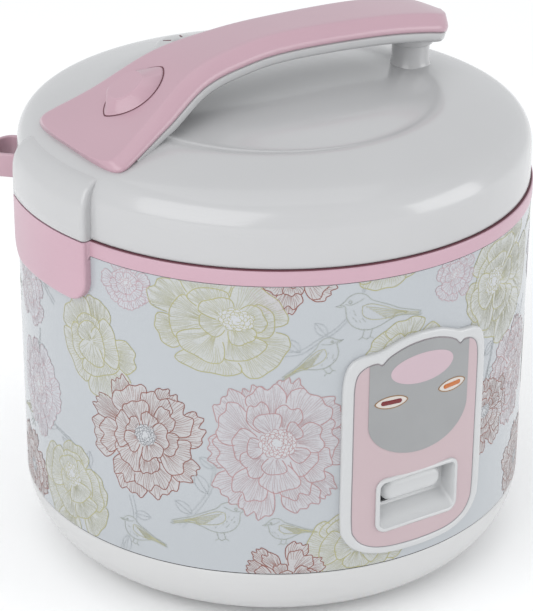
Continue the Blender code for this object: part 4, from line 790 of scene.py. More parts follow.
def outer_edge(polygons, count=120):
    """The farthest reach of a group of polygons in each direction from the flower's middle."""
    reach = []
    for k in range(count):
        angle = math.tau * k / count
        dx, dy = math.cos(angle), math.sin(angle)
        farthest = 0.15
        for polygon in polygons:
            for (x0, y0), (x1, y1) in zip(polygon, polygon[1:] + polygon[:1]):
                ex, ey = x1 - x0, y1 - y0
                bottom = dx * ey - dy * ex
                if abs(bottom) < 1e-9:
                    continue
                distance = (x0 * ey - y0 * ex) / bottom
                along = (x0 * dy - y0 * dx) / bottom
                if distance > farthest and 0 <= along <= 1:
                    farthest = distance
        reach.append((farthest * dx, farthest * dy))
    return reach


CUPPED = [(4, 0.10, 0.36, 0.36, 2, 0.03, 0.35, 0.0), (5, 0.24, 0.46, 0.50, 2, 0.03, 0.3, 0.03),
          (6, 0.44, 0.52, 0.54, 3, 0.03, 0.35, 0.03)]
BUD = [(3, 0.02, 0.40, 0.40, 1, 0.02, 0.4, 0.0), (4, 0.14, 0.52, 0.58, 2, 0.03, 0.35, 0.0),
       (5, 0.38, 0.60, 0.60, 3, 0.03, 0.4, 0.04)]
RAGGED = [(5, 0.14, 0.26, 0.21, 2, 0.06, 0.35, 0.06), (6, 0.24, 0.38, 0.31, 3, 0.06, 0.3, 0.08),
          (7, 0.38, 0.46, 0.36, 3, 0.07, 0.28, 0.10), (8, 0.50, 0.52, 0.34, 4, 0.07, 0.28, 0.10)]
FULL = [(5, 0.20, 0.24, 0.20, 1, 0.06, 0.35, 0.0), (7, 0.26, 0.36, 0.28, 2, 0.06, 0.3, 0.06),
        (8, 0.38, 0.46, 0.33, 3, 0.07, 0.28, 0.08), (10, 0.52, 0.50, 0.30, 4, 0.07, 0.28, 0.10)]
ROSETTE = [(4, 0.08, 0.34, 0.30, 2, 0.05, 0.4, 0.0), (6, 0.26, 0.40, 0.38, 4, 0.05, 0.35, 0.06),
           (8, 0.50, 0.46, 0.36, 5, 0.05, 0.3, 0.06)]

# Each flower: kind, ink, azimuth, z, width and height, tilt, where its middle sits and its stamens
FLOWERS = [
    (CUPPED, "olive", -44.8, 0.1735, 0.0715, 0.0560, -8, (0.26, 0.22), 30),
    (FULL, "rose", -32.0, 0.1105, 0.0700, 0.0760, 0, (0.02, 0.06), 46),
    (RAGGED, "wine", -61.4, 0.1073, 0.0600, 0.0680, -28, (0.02, 0.06), 34),
    (BUD, "olive", -73.8, 0.1490, 0.0460, 0.0520, 24, (-0.1, 0.1), 0),
    (CUPPED, "olive", -82.0, 0.0600, 0.0560, 0.0560, -20, (-0.15, 0.3), 26),
    (ROSETTE, "blush", -64.9, 0.1868, 0.0290, 0.0260, 0, (0.0, 0.1), 14),
    (RAGGED, "wine", -29.6, 0.2035, 0.0500, 0.0460, 10, (0.0, 0.1), 0),
    (RAGGED, "wine", -30.0, 0.0365, 0.0400, 0.0420, 0, (0.1, -0.2), 0),
    (CUPPED, "olive", -14.2, 0.0500, 0.0560, 0.0520, 30, (0.1, 0.1), 0),
    (BUD, "olive", -4.0, 0.1560, 0.0420, 0.0300, 14, (0.0, -0.3), 0),
    (CUPPED, "olive", -9.3, 0.2120, 0.0480, 0.0420, 0, (0.0, 0.0), 0),
    (ROSETTE, "blush", 8.6, 0.1870, 0.0290, 0.0280, 20, (0.0, 0.1), 14),
    (CUPPED, "olive", 25.5, 0.1720, 0.0680, 0.0660, 10, (-0.2, 0.1), 30),
    (RAGGED, "wine", 20.9, 0.1010, 0.0460, 0.0420, 0, (0.0, 0.1), 20),
    (FULL, "rose", 34.0, 0.1130, 0.0560, 0.0560, 10, (0.0, 0.0), 36),
    (RAGGED, "wine", 42.5, 0.0530, 0.0520, 0.0440, 0, (0.0, 0.0), 24),
    (ROSETTE, "blush", -97.0, 0.1060, 0.0480, 0.0560, 0, (0.0, 0.0), 20),
    (ROSETTE, "blush", -101.0, 0.1560, 0.0420, 0.0420, 0, (0.0, 0.0), 20),
    (RAGGED, "wine", -103.0, 0.0520, 0.0460, 0.0420, 0, (0.0, 0.0), 20),
    (CUPPED, "olive", 60.0, 0.1080, 0.0600, 0.0560, 20, (0.1, 0.2), 26),
    (ROSETTE, "blush", 53.0, 0.1640, 0.0400, 0.0360, 0, (0.0, 0.0), 16),
    (FULL, "rose", 78.0, 0.1580, 0.0620, 0.0560, 0, (0.0, 0.0), 40),
    (RAGGED, "wine", 86.0, 0.0960, 0.0560, 0.0560, 10, (0.0, 0.0), 28),
    (ROSETTE, "blush", 71.0, 0.0600, 0.0360, 0.0340, 0, (0.0, 0.0), 16),
    (CUPPED, "olive", 104.0, 0.1400, 0.0660, 0.0620, -10, (0.2, 0.2), 30),
    (BUD, "olive", 100.0, 0.0620, 0.0440, 0.0440, 30, (0.0, 0.1), 0),
    (FULL, "rose", 132.0, 0.1080, 0.0680, 0.0680, 0, (0.0, 0.0), 44),
    (RAGGED, "wine", 128.0, 0.1740, 0.0540, 0.0460, 0, (0.0, 0.0), 28),
    (ROSETTE, "blush", 148.0, 0.1540, 0.0360, 0.0340, 0, (0.0, 0.0), 16),
    (CUPPED, "olive", 162.0, 0.1120, 0.0560, 0.0560, 15, (0.1, 0.1), 28),
    (RAGGED, "wine", 150.0, 0.0620, 0.0500, 0.0420, 0, (0.0, 0.0), 24),
    (FULL, "rose", 176.0, 0.1620, 0.0620, 0.0560, 0, (0.0, 0.0), 40),
    (CUPPED, "olive", 204.0, 0.1560, 0.0660, 0.0600, -15, (0.2, 0.2), 30),
    (RAGGED, "wine", 196.0, 0.0960, 0.0580, 0.0560, 10, (0.0, 0.0), 28),
    (ROSETTE, "blush", 216.0, 0.1080, 0.0400, 0.0400, 0, (0.0, 0.0), 16),
    (FULL, "rose", 226.0, 0.0660, 0.0600, 0.0560, 0, (0.0, 0.0), 40),
    (BUD, "olive", 232.0, 0.1200, 0.0460, 0.0480, 20, (0.0, 0.1), 0),
    (RAGGED, "wine", 233.0, 0.1720, 0.0500, 0.0440, 0, (0.0, 0.0), 24),
]


def draw_bird(sheet, azimuth, z, length, facing, tilt, seed):
    """A small perching bird in outline, about one unit long, facing 1 to the right or -1 to the left."""
    ink, wing_ink = "sage", "olive_hatch"
    body = smooth_path([(0.46, 0.10), (0.41, 0.14), (0.36, 0.20), (0.27, 0.235), (0.17, 0.21), (0.10, 0.15),
                        (0.0, 0.11), (-0.14, 0.06), (-0.26, 0.01), (-0.42, -0.03), (-0.53, -0.06)], 4)
    belly = smooth_path([(0.46, 0.10), (0.40, 0.085), (0.385, 0.02), (0.36, -0.07), (0.28, -0.16),
                         (0.14, -0.205), (0.0, -0.18), (-0.12, -0.12), (-0.24, -0.075), (-0.40, -0.085),
                         (-0.52, -0.11)], 4)
    wing = smooth_path([(0.20, 0.08), (0.10, 0.10), (-0.05, 0.06), (-0.20, 0.0), (-0.36, -0.045),
                        (-0.22, -0.07), (-0.05, -0.09), (0.10, -0.08), (0.19, -0.02), (0.20, 0.08)], 4)
    turn = math.radians(tilt)
    middle = arc_length(azimuth)

    def place(points):
        """Points from the bird's own plane to the sleeve."""
        placed = []
        for x, y in points:
            x, y = x * math.cos(turn) - y * math.sin(turn), x * math.sin(turn) + y * math.cos(turn)
            placed.append((middle + facing * x * length, z + y * length))
        return placed

    draw = random.Random(seed)
    sheet.stroke(wing_ink, place(wing), 0.00030)
    for k in range(6):
        drop = 0.07 - 0.026 * k
        feather = smooth_path([(0.16 - 0.04 * k, drop), (-0.02 - 0.03 * k, drop - 0.035),
                               (-0.34 + 0.03 * k, -0.045)], 3)
        sheet.stroke(wing_ink, place(feather), 0.00026)
    sheet.add_mask(place(wing))
    sheet.stroke(ink, place(body), 0.00032)
    sheet.stroke(ink, place(belly), 0.00032)
    sheet.stroke(ink, place([(-0.53, -0.06), (-0.50, -0.085), (-0.55, -0.095), (-0.52, -0.11)]), 0.00030)
    for k in range(3):
        sheet.stroke(wing_ink, place([(-0.30, -0.03 - 0.014 * k), (-0.50, -0.068 - 0.014 * k)]), 0.00024)
    sheet.stroke(ink, place([(0.46, 0.10), (0.505, 0.088), (0.43, 0.075)]), 0.00030)
    sheet.stroke(ink, place(arc((0.345, 0.135), 0.018, 0, 360, 8)), 0.00034)
    sheet.stroke(ink, place(smooth_path([(0.40, 0.11), (0.33, 0.10), (0.26, 0.13), (0.19, 0.17)], 3)), 0.00022)
    for k in range(9):
        x, y = draw.uniform(0.05, 0.33), draw.uniform(-0.13, 0.04)
        sheet.stroke(ink, place([(x, y), (x - 0.02, y - 0.025)]), 0.00022)
    for x in (0.06, 0.15):
        leg = [(x, -0.19), (x + 0.02, -0.29), (x + 0.06, -0.32)]
        sheet.stroke(ink, place(leg), 0.00028)
        sheet.stroke(ink, place([(x + 0.02, -0.29), (x - 0.03, -0.315)]), 0.00026)
    sheet.add_mask(place(body + belly[::-1]))


# Each bird: azimuth, height, length and the side that it faces, then its tilt
BIRDS = [(-10.6, 0.1790, 0.0440, -1, 4), (-24.4, 0.1575, 0.0330, 1, 24), (-46.0, 0.0690, 0.0390, 1, 6),
         (-28.9, 0.0650, 0.0270, -1, 0), (-62.0, 0.0530, 0.0270, -1, 8), (-104.0, 0.0850, 0.0300, 1, 10),
         (47.0, 0.1900, 0.0300, 1, 5), (66.0, 0.1850, 0.0340, -1, 8), (100.0, 0.1020, 0.0300, 1, 5),
         (116.0, 0.0660, 0.0380, 1, 6), (150.0, 0.1860, 0.0360, -1, 4), (178.0, 0.1300, 0.0300, 1, 8),
         (181.0, 0.0640, 0.0360, -1, 6), (213.0, 0.0650, 0.0300, 1, 4), (219.0, 0.1900, 0.0300, -1, 6),
         (245.0, 0.1450, 0.0280, 1, 5)]


def draw_branches(sheet):
    """Faint twin-line branches with twigs and leaves, between and behind the rest."""
    draw = random.Random(77)
    for k in range(26):
        u = arc_length(-118.0 + 360.0 * k / 26 + draw.uniform(-4, 4))
        z = draw.uniform(SLEEVE_LOW, SLEEVE_TOP)
        heading = draw.uniform(0, math.tau)
        points = [(u, z)]
        for _ in range(7):
            heading += draw.uniform(-0.5, 0.5)
            u += 0.010 * math.cos(heading)
            z += 0.010 * math.sin(heading)
            points.append((u, z))
        path = smooth_path(points, 4)
        width = 0.0011
        for side in (-1, 1):
            edge = []
            for n, (pu, pz) in enumerate(path):
                before, after = path[max(n - 1, 0)], path[min(n + 1, len(path) - 1)]
                across = Vector((-(after[1] - before[1]), after[0] - before[0])).normalized()
                thin = width * (1 - 0.75 * n / len(path))
                edge.append((pu + across.x * side * thin, pz + across.y * side * thin))
            sheet.stroke("mist", edge, 0.00034)
        for n in range(4, len(path) - 2, 6):
            draw_leaf(sheet, path[n], heading + draw.choice((-1, 1)) * draw.uniform(0.6, 1.2), draw)


def draw_leaf(sheet, root, heading, draw):
    """A small pointed leaf with its midrib."""
    length = draw.uniform(0.008, 0.013)
    wide = length * 0.26
    c, s = math.cos(heading), math.sin(heading)
    for side in (-1, 0, 1):
        edge = []
        for k in range(9):
            t = k / 8
            across = side * wide * math.sin(math.pi * t) ** 0.8
            edge.append((root[0] + length * t * c - across * s, root[1] + length * t * s + across * c))
        sheet.stroke("mist", edge, 0.00028)


def make_print():
    """Flowers first, then birds between them, then the branches behind."""
    sheet = Print()
    cores = {id(RAGGED): (0.19, 0.16), id(FULL): (0.26, 0.20)}
    for number, (kind, ink, azimuth, z, width, height, tilt, centre, stamens) in enumerate(FLOWERS):
        flower = Flower(azimuth, z, width, height, tilt, 100 + number)
        draw_flower(sheet, flower, ink, kind, centre, cores.get(id(kind), (0.24, 0.20)), stamens,
                    "slate" if kind is RAGGED else ink, kind is ROSETTE)
    for number, (azimuth, z, length, facing, tilt) in enumerate(BIRDS):
        draw_bird(sheet, azimuth, z, length, facing, tilt, number)
    draw_branches(sheet)
    sheet.make_pieces()


# ---------------------------------------------------------------- panel


BEZEL_OUTER = [(0.0, 0.0453), (9.0, 0.0462), (14.6, 0.0503), (17.5, 0.0575), (18.35, 0.0660), (18.4, 0.100),
               (18.4, 0.1320), (18.25, 0.1430), (17.6, 0.1502), (16.2, 0.1547), (14.2, 0.1568), (12.2, 0.1574),
               (9.9, 0.1584), (7.4, 0.1607), (4.6, 0.1629), (1.6, 0.1639), (0.0, 0.1640)]
BEZEL_INNER = [(0.0, 0.0490), (8.0, 0.0496), (12.6, 0.0525), (15.1, 0.0580), (15.9, 0.0665), (15.95, 0.100),
               (15.95, 0.1310), (15.85, 0.1412), (15.3, 0.1470), (14.1, 0.1502), (12.4, 0.1520), (10.9, 0.1523),
               (9.9, 0.1512), (8.6, 0.1541), (6.2, 0.1570), (3.2, 0.1591), (0.0, 0.1598)]


def panel_loop(half):
    """Closed (u, z) loop, symmetrical about the panel's middle, from points on its right half."""
    path = [(arc_length(a), z) for a, z in smooth_path(half, 6)]
    return path + [(-u, z) for u, z in path[-2:0:-1]]


def inset(outline, distance):
    """A closed outline moved inwards."""
    result = []
    for k, here in enumerate(outline):
        before, after = outline[k - 1], outline[(k + 1) % len(outline)]
        du, dz = after[0] - before[0], after[1] - before[1]
        length = math.hypot(du, dz) or 1.0
        result.append((here[0] - dz / length * distance, here[1] + du / length * distance))
    return result


def make_bezel():
    """The white frame of the panel, with a softly domed section."""
    outer, inner = panel_loop(BEZEL_OUTER), panel_loop(BEZEL_INNER)
    profile = [(0.0, 0.1321), (0.0, 0.1332), (0.03, 0.13385), (0.10, 0.13425), (0.22, 0.13448),
               (0.5, PANEL_RADIUS), (0.78, 0.13448), (0.90, 0.13428), (0.97, 0.13395), (1.0, 0.1334),
               (1.0, 0.1326)]
    sections = [[on_sleeve(mix(a[0], b[0], s), mix(a[1], b[1], s), r) for s, r in profile]
                for a, b in zip(outer, inner)]
    add_piece("panel_frame", lofted(sections, closed=True), "root", PANEL_WHITE, ["panel_bezel"],
              sharp=60)


def window_loop(outward):
    """The lever's window in (u, z)."""
    half = WINDOW_HALF_WIDTH + outward
    return rounded_rectangle(-half, half, WINDOW_LOW - outward, WINDOW_TOP + outward, WINDOW_CORNER + outward)


def make_face():
    """The pale panel sheet with the lever's window, and a fine shadow line round it."""
    line = panel_loop(BEZEL_INNER)
    sheet = wrapped([inset(line, -0.0001), window_loop(0.0012)], 0.1329, FACE_RADIUS - 0.0001)
    add_piece("panel_sheet", sheet, "root", PALE_PINK, ["panel_face"])
    low, high = FACE_RADIUS - 0.0002, FACE_RADIUS + 0.00002
    sections = [[on_sleeve(*a, low), on_sleeve(*a, high), on_sleeve(*b, high), on_sleeve(*b, low)]
                for a, b in zip(line, inset(line, 0.00022))]
    add_piece("panel_shadow_line", lofted(sections, closed=True), "root", INKS["slate"])


def make_badge():
    """The silver plate in the panel's upper part, with a plain oval on it."""
    half = arc_length(12.7)
    side_low, low = 0.1190, 0.0995
    top = [p for p in inset(panel_loop(BEZEL_INNER), 0.00045) if p[1] > 0.145 and abs(p[0]) < half - 0.0004]
    top.sort(key=lambda p: -p[0])
    outline = [(half, top[0][1]), *top, (-half, top[-1][1])]
    outline += arc((0.0, side_low), (half, side_low - low), 180, 360, 48)
    add_piece("badge_plate", wrapped([outline], FACE_RADIUS - 0.0002, FACE_RADIUS + 0.0002), "root", SILVER,
              ["panel_badge"])
    oval = arc((0.0, 0.1450), (arc_length(7.9), 0.0079), 0, 354, 59)
    add_piece("badge_oval", wrapped([oval], FACE_RADIUS, FACE_RADIUS + 0.00026), "root", OVAL_PINK)


def lens_outline(centre, half_width, half_height):
    """Oval with slightly pointed ends."""
    angles = [math.tau * k / 64 for k in range(64)]
    return [(centre[0] + half_width * math.cos(a),
             centre[1] + half_height * math.copysign(abs(math.sin(a)) ** 1.25, math.sin(a))) for a in angles]


def make_lamp(name, azimuth, finish):
    """One lamp: a printed oval with a line round it and a raised coloured bar."""
    centre = (arc_length(azimuth), LAMP_Z)
    outer = lens_outline(centre, 0.0090, 0.0034)
    inner = lens_outline(centre, 0.0083, 0.0029)
    add_piece(f"{name}_lamp_line", wrapped([outer, inner], FACE_RADIUS, FACE_RADIUS + 0.00034, 0.001), "root",
              LAMP_LINE)
    add_piece(f"{name}_lamp_field", wrapped([inner], FACE_RADIUS, FACE_RADIUS + 0.00028, 0.001), "root",
              LAMP_WHITE)
    bar = rounded_rectangle(centre[0] - 0.0056, centre[0] + 0.0056, centre[1] - 0.0012, centre[1] + 0.0012,
                            0.00115, 5)
    sections = []
    for shrink, rise in ((0.0, 0.0), (0.0, 0.0003), (0.00025, 0.0005), (0.0007, 0.00058)):
        ring = []
        for u, z in bar:
            du, dz = u - centre[0], z - centre[1]
            length = math.hypot(du, dz)
            keep = 1 - shrink / length
            ring.append(on_sleeve(centre[0] + du * keep, centre[1] + dz * keep, FACE_RADIUS + rise))
        sections.append(ring)
    add_piece(f"{name}_lamp_bar", lofted(sections), "root", finish, [f"{name}_lens"])


def make_recess():
    """The white well behind the lever: a rolled rim, a sloping floor and a slot for the lever's arm."""
    def ring(outward, y=None, radius=None, floor=0.0, ceiling=0.0):
        """The window's outline moved outwards, at a radius or a plane y, its floor and ceiling sloped."""
        points = []
        for u, z in window_loop(outward):
            share = (z - WINDOW_LOW) / (WINDOW_TOP - WINDOW_LOW)
            z = z + floor * max(0.0, 1 - share) - ceiling * max(0.0, share)
            spot = on_sleeve(u, z, radius or PANEL_RADIUS)
            points.append(spot if y is None else Vector((spot.x * 0.985, y, z)))
        return points

    slot = [(x, z + (0.0024 * max(0.0, (x - 0.0090) / 0.0070) if z > 0.080 else 0.0))
            for x, z in rounded_rectangle(-0.0175, 0.0160, 0.0692, 0.0848, 0.0010)]
    rim = ((0.0008, 0.1330), (0.0008, 0.1343), (0.0006, 0.13450), (0.0003, 0.13455), (0.0001, 0.13445),
           (0.0, 0.1340))
    sections = [ring(outward, radius=radius) for outward, radius in rim]
    sections += [ring(-0.0002, -0.1305, floor=0.0022), ring(-0.0006, -0.1268, floor=0.0048, ceiling=0.0002),
                 ring(-0.0010, -0.1238, floor=0.0066, ceiling=0.0003),
                 ring(-0.0016, -0.1232, floor=0.0070, ceiling=0.0003)]
    sections += [[(x, y, z) for x, z in slot] for y in (-0.1231, -0.1205)]
    shape = bmesh.new()
    skinned(shape, sections)
    piece = add_piece("lever_well", shape, "root", PANEL_WHITE, ["lever_recess"], sharp=45)
    thick = piece.modifiers.new("wall", "SOLIDIFY")
    thick.thickness = 0.0008
    thick.offset = 1.0


def make_lever():
    """The rounded lever knob on its arm, which reaches under the sensor."""
    centre_x, centre_z = -0.0004, 0.0783
    half, tall = 0.0179, 0.0060
    sections = []
    for y, shrink in ((-0.1234, 0.0012), (-0.1240, 0.0002), (-0.1262, 0.0), (-0.1276, 0.0005),
                      (-0.1286, 0.0014), (-0.1292, 0.0028), (-0.1294, 0.0044)):
        outline = rounded_rectangle(-half + shrink, half - shrink, -tall + shrink, tall - shrink,
                                    max(0.0012, 0.0058 - shrink))
        sections.append([(centre_x + x, y + 0.0008 * (z / tall), centre_z + z) for x, z in outline])
    shape = lofted(sections)
    arm = [(0.004, 0.0212), (0.004, 0.0229), (-0.014, 0.0229), (-0.0315, 0.0310), (-0.0385, 0.0310),
           (-0.1122, 0.0290), (-0.1122, 0.0790), (-0.1230, 0.0790), (-0.1230, 0.0766), (-0.1150, 0.0766),
           (-0.1150, 0.0260), (-0.0385, 0.0250), (-0.016, 0.0212)]
    lofted([[(x, y, z) for y, z in arm] for x in (-0.005, -0.0046, 0.0046, 0.005)], target=shape)
    add_piece("lever_knob", shape, "lever", PANEL_WHITE, ["cook_lever"])


# ---------------------------------------------------------------- lid


LID_PROFILE = [(0.0, 0.2480), (0.0300, 0.2475), (0.0560, 0.2459), (0.0720, 0.2440), (0.0790, 0.2434),
               (0.0840, 0.2438), (0.0900, 0.2437), (0.0988, 0.2421), (0.1110, 0.2394), (0.1200, 0.2368),
               (0.1252, 0.2340), (0.1286, 0.2300), (0.1304, 0.2255), (0.1310, 0.2200)]


def make_lid():
    """The hollow lid with its boss over the latch and its hinge knuckle."""
    outer = smooth_path(LID_PROFILE, 6)
    wall = 0.0022
    inner = [(r - wall if r > 0.1 else r, z - wall) for r, z in outer if z - wall > 0.2062][::-1]
    outline = [*outer, (0.1311, 0.2062), (0.13105, 0.2050), (0.1308, LID_LOW + 0.0002), (0.1304, LID_LOW),
               (0.1290, LID_LOW), (0.1288, LID_LOW + 0.0004), (0.1288, 0.2060), *inner]
    shell = turned(outline, 200)
    lid_boss(shell)
    knuckle = [(0.1290, HINGE_Z - KNUCKLE_RADIUS), *arc((HINGE_X, HINGE_Z), KNUCKLE_RADIUS, -90, 90, 16),
               (0.1290, HINGE_Z + 0.0046)]
    lofted([[(x, y, z) for x, z in knuckle] for y in (-0.0115, -0.0112, 0.0112, 0.0115)], target=shell)
    add_piece("lid_cover", shell, "lid", WHITE, ["lid_shell"], sharp=45)


def lid_boss(shell):
    """The raised front of the lid over the latch, which fades into the lid at its top."""
    side = [(0.1296, LID_LOW), (TAB_RADIUS - 0.0005, LID_LOW), (TAB_RADIUS, LID_LOW + 0.0006),
            (TAB_RADIUS, 0.2100), (TAB_RADIUS, 0.2170), (0.1362, 0.2215), (0.1352, 0.2255), (0.1334, 0.2291),
            (0.1308, 0.2318), (0.1276, 0.2334), (0.1240, 0.2340)]
    floor = [(0.1296, LID_LOW), (0.1300, LID_LOW), (0.1300, LID_LOW + 0.0006), (0.1300, 0.2100),
             (0.1300, 0.2170), (0.1298, 0.2215), (0.1294, 0.2250), (0.1282, 0.2278), (0.1266, 0.2300),
             (0.1246, 0.2312), (0.1228, 0.2318)]
    stations = [(-1.0, 0.0), (-1.0, 0.55), (-0.992, 0.8), (-0.975, 0.93), (-0.945, 1.0)]
    stations += [(mix(-0.9, 0.9, k / 16), 1.0) for k in range(17)]
    stations += [(-share, raised) for share, raised in stations[4::-1]]
    sections = []
    for share, raised in stations:
        azimuth = LATCH_AZIMUTH + share * TAB_HALF_ANGLE
        sections.append([polar(mix(a[0], b[0], raised), azimuth, mix(a[1], b[1], raised))
                         for a, b in zip(floor, side)])
    lofted(sections, target=shell)


def make_vent():
    """A low steam cap with a ring of slits, shown as dark marks of painted shade, and its tube."""
    x, y = VENT_CENTRE
    floor = 0.2432
    cap = rounded([(0.0, 0.2405), (0.0160, 0.2405), (0.0160, floor + 0.0010), (0.0142, floor + 0.0026),
                   (0.0070, floor + 0.0034), (0.0052, floor + 0.0020), (0.0, floor + 0.0018)], 0.0010, 4)
    shape = turned(cap, 72, VENT_CENTRE)
    rod(0.0060, (x, y, 0.2130), (x, y, 0.2410), 32, target=shape)
    add_piece("vent_cap", shape, "lid", WHITE, ["steam_vent"])
    # Each slit is a dark block of painted shade set into the cap's top.
    slits = bmesh.new()
    for k in range(6):
        heading = math.radians(60 * k + 12)
        outward = Vector((math.cos(heading), math.sin(heading), 0.0))
        across = Vector((-outward.y, outward.x, 0.0))
        middle = Vector((x, y, floor + 0.00305)) + outward * 0.0100
        corners = [middle + outward * a * 0.0022 + across * b * 0.0005 + Vector((0, 0, -0.00030 * a))
                   for a, b in ((-1, -1), (1, -1), (1, 1), (-1, 1))]
        lofted([[c + Vector((0, 0, rise)) for c in corners] for rise in (-0.0008, 0.00012)], target=slits)
    add_piece("vent_slit_shade", slits, "lid", GAP_SHADE)


def make_lid_inside():
    """The lining under the lid, the removable inner lid with its grip, and the seal."""
    liner = rounded([(0.0045, 0.2150), (0.1145, 0.2150), (0.1145, 0.2060), (0.1282, 0.2060), (0.1282, 0.2078),
                     (0.1163, 0.2078), (0.1163, 0.2168), (0.0045, 0.2168)], 0.0007)
    add_piece("lid_lining", turned(liner), "lid", CREAM, ["lid_liner"])
    plate = rounded([(0.0045, 0.2102), (0.040, 0.2102), (0.042, 0.2098), (0.070, 0.2098), (0.072, 0.2102),
                     (0.094, 0.2102), (0.1070, 0.2086), (0.1070, 0.2094), (0.094, 0.2110),
                     (0.0045, 0.2110)], 0.0003)
    add_piece("inner_lid_plate", turned(plate), "lid", ALUMINIUM, ["inner_lid"])
    rim = 0.2043
    seal = rounded([(0.1040, rim), (0.1135, rim), (0.1130, rim + 0.0020), (0.1100, rim + 0.0028),
                    (0.1100, rim + 0.0070), (0.1073, rim + 0.0070), (0.1073, rim + 0.0024),
                    (0.1040, rim + 0.0012)], 0.0005)
    add_piece("lid_gasket", turned(seal), "lid", SEAL_RUBBER, ["lid_seal"])
    knob = rounded([(0.0, 0.2050), (0.0090, 0.2050), (0.0110, 0.2065), (0.0110, 0.2099), (0.0040, 0.2099),
                    (0.0040, 0.2171), (0.0056, 0.2171), (0.0040, 0.2195), (0.0, 0.2195)], 0.0010, 4)
    add_piece("inner_lid_grip", turned(knob, 48), "lid", SEAL_RUBBER, ["inner_lid_knob"])


def make_inside():
    """Pot, well and heating plate, seen when the lid is open."""
    corner, inner = 0.0185, 0.105
    low = 0.0705
    pot = [(0.0, 0.0520), *arc((0.088, low), corner, -90, 0, 14), (0.1065, 0.2010), (0.1075, 0.2022),
           (0.1136, 0.2025), (0.1140, 0.2029), (0.1140, 0.2036), (0.1134, 0.2040), (inner + 0.0015, 0.2040),
           (inner, 0.2030), *arc((0.088, low), corner - 0.0015, 0, -90, 14), (0.0, 0.0535)]
    add_piece("cooking_pot", turned(pot), "root", NON_STICK, ["inner_pot"], sharp=50)
    well = rounded([(0.1095, 0.1957), (0.1130, 0.1957), (0.1130, 0.1947), (0.1105, 0.1947), (0.1105, 0.0440),
                    (0.0875, 0.0440), (0.0875, 0.0450), (0.1095, 0.0450)], 0.0004)
    add_piece("steel_well", turned(well), "root", WELL_STEEL, ["well_liner"])
    plate = rounded([(0.0185, 0.0400), (0.0850, 0.0400), (0.0850, 0.0475), (0.0770, 0.0507), (0.0500, 0.0513),
                     (0.0265, 0.0515), (0.0185, 0.0505)], 0.0012, 4)
    add_piece("hot_plate", turned(plate), "root", ALUMINIUM, ["heating_plate"])


# ---------------------------------------------------------------- handle and button


HANDLE_CREST = ((-0.1192, 0.2400), (-0.1080, 0.2453), (-0.0900, 0.2545), (-0.0600, 0.2713),
                (-0.0300, 0.2777), (0.0, 0.2798), (0.0500, 0.2786), (0.0850, 0.2747), (0.1030, 0.2695))
HANDLE_HALF_WIDTHS = ((-0.1192, 0.0428), (-0.1080, 0.0396), (-0.0900, 0.0332), (-0.0600, 0.0244),
                      (-0.0300, 0.0201), (0.0, 0.0187), (0.0500, 0.0203), (0.0850, 0.0214), (0.1030, 0.0214))
HANDLE_FRONT_ROUND = -0.108
HANDLE_DEPTHS = ((-0.1192, 0.62), (-0.0900, 0.85), (-0.0600, 1.0), (0.1030, 1.0))
HANDLE_REAR_ROUND = 0.086


def crest_at(x):
    """Height and slope angle of the handle's crest at x."""
    first, last = HANDLE_CREST[0][0], HANDLE_CREST[-1][0]
    ahead, behind = min(x + 0.001, last), max(x - 0.001, first)
    rise = interpolate(HANDLE_CREST, ahead) - interpolate(HANDLE_CREST, behind)
    return interpolate(HANDLE_CREST, x), math.atan2(rise, ahead - behind)


def half_width_at(x):
    """Half of the handle's width at x, drawn in at its round ends."""
    wide = interpolate(HANDLE_HALF_WIDTHS, x)
    first, last = HANDLE_CREST[0][0], HANDLE_CREST[-1][0]
    if x < HANDLE_FRONT_ROUND:
        t = (HANDLE_FRONT_ROUND - x) / (HANDLE_FRONT_ROUND - first)
        return wide * (1 - 0.97 * t ** 4) ** (1 / 3)
    if x > HANDLE_REAR_ROUND:
        t = (x - HANDLE_REAR_ROUND) / (last - HANDLE_REAR_ROUND)
        return wide * (1 - 0.985 * t ** 2.2) ** (1 / 2.2)
    return wide


def handle_ring(x, profile):
    """Ring round the handle at x from (inset, depth) points that run from its top to its bottom."""
    z, slope = crest_at(x)
    wide = max(0.0022, half_width_at(x))
    deep = interpolate(HANDLE_DEPTHS, x)
    half = []
    for inset_by, depth in profile:
        y = max(0.0006, wide - inset_by)
        d = depth * deep
        half.append((x + d * math.sin(slope), y, z - d * math.cos(slope)))
    return half + [(px, -py, pz) for px, py, pz in half[::-1]]


def handle_places(first, last, count):
    """Stations along the handle, closer together towards its ends."""
    middle, reach = (first + last) / 2, (last - first) / 2
    return [middle - reach * math.cos(math.pi * k / count) for k in range(count + 1)]


def make_handle():
    """The pink grip, and its white lining with the pillar at the rear."""
    first, last = HANDLE_CREST[0][0], HANDLE_CREST[-1][0]
    top = ((0.0090, 0.0), (0.0066, 0.00005), (0.0058, 0.0002), (0.0050, 0.0006), (0.0012, 0.0044),
           (0.0005, 0.0052), (0.0, 0.0062), (0.0, 0.0076), (0.0002, 0.0084), (0.0012, 0.0088))
    sections = [handle_ring(x, top) for x in handle_places(first, last, 90)]
    add_piece("handle_top", lofted(sections), "lid", PINK, ["handle_grip"], sharp=60)
    under = ((0.0012, 0.0088), (0.0004, 0.0094), (0.0004, 0.0122), (0.0016, 0.0138), (0.0040, 0.0148),
             (0.0070, 0.0152))
    sections = [handle_ring(x, under) for x in handle_places(first + 0.014, last - 0.0004, 80)]
    shape = lofted(sections)
    column = [(0.0, 0.2380), (0.0150, 0.2392), (0.0128, 0.2412), (0.0110, 0.2426), (0.0102, 0.2450),
              (0.0099, 0.2480), (0.0099, 0.2552), (0.0116, 0.2554), (0.0119, 0.2562), (0.0119, 0.2635),
              (0.0, 0.2650)]
    turned(rounded(column, 0.0008), 64, (PILLAR_X, 0.0), target=shape)
    add_piece("handle_lining", shape, "lid", WHITE, ["handle_underside"], sharp=50)


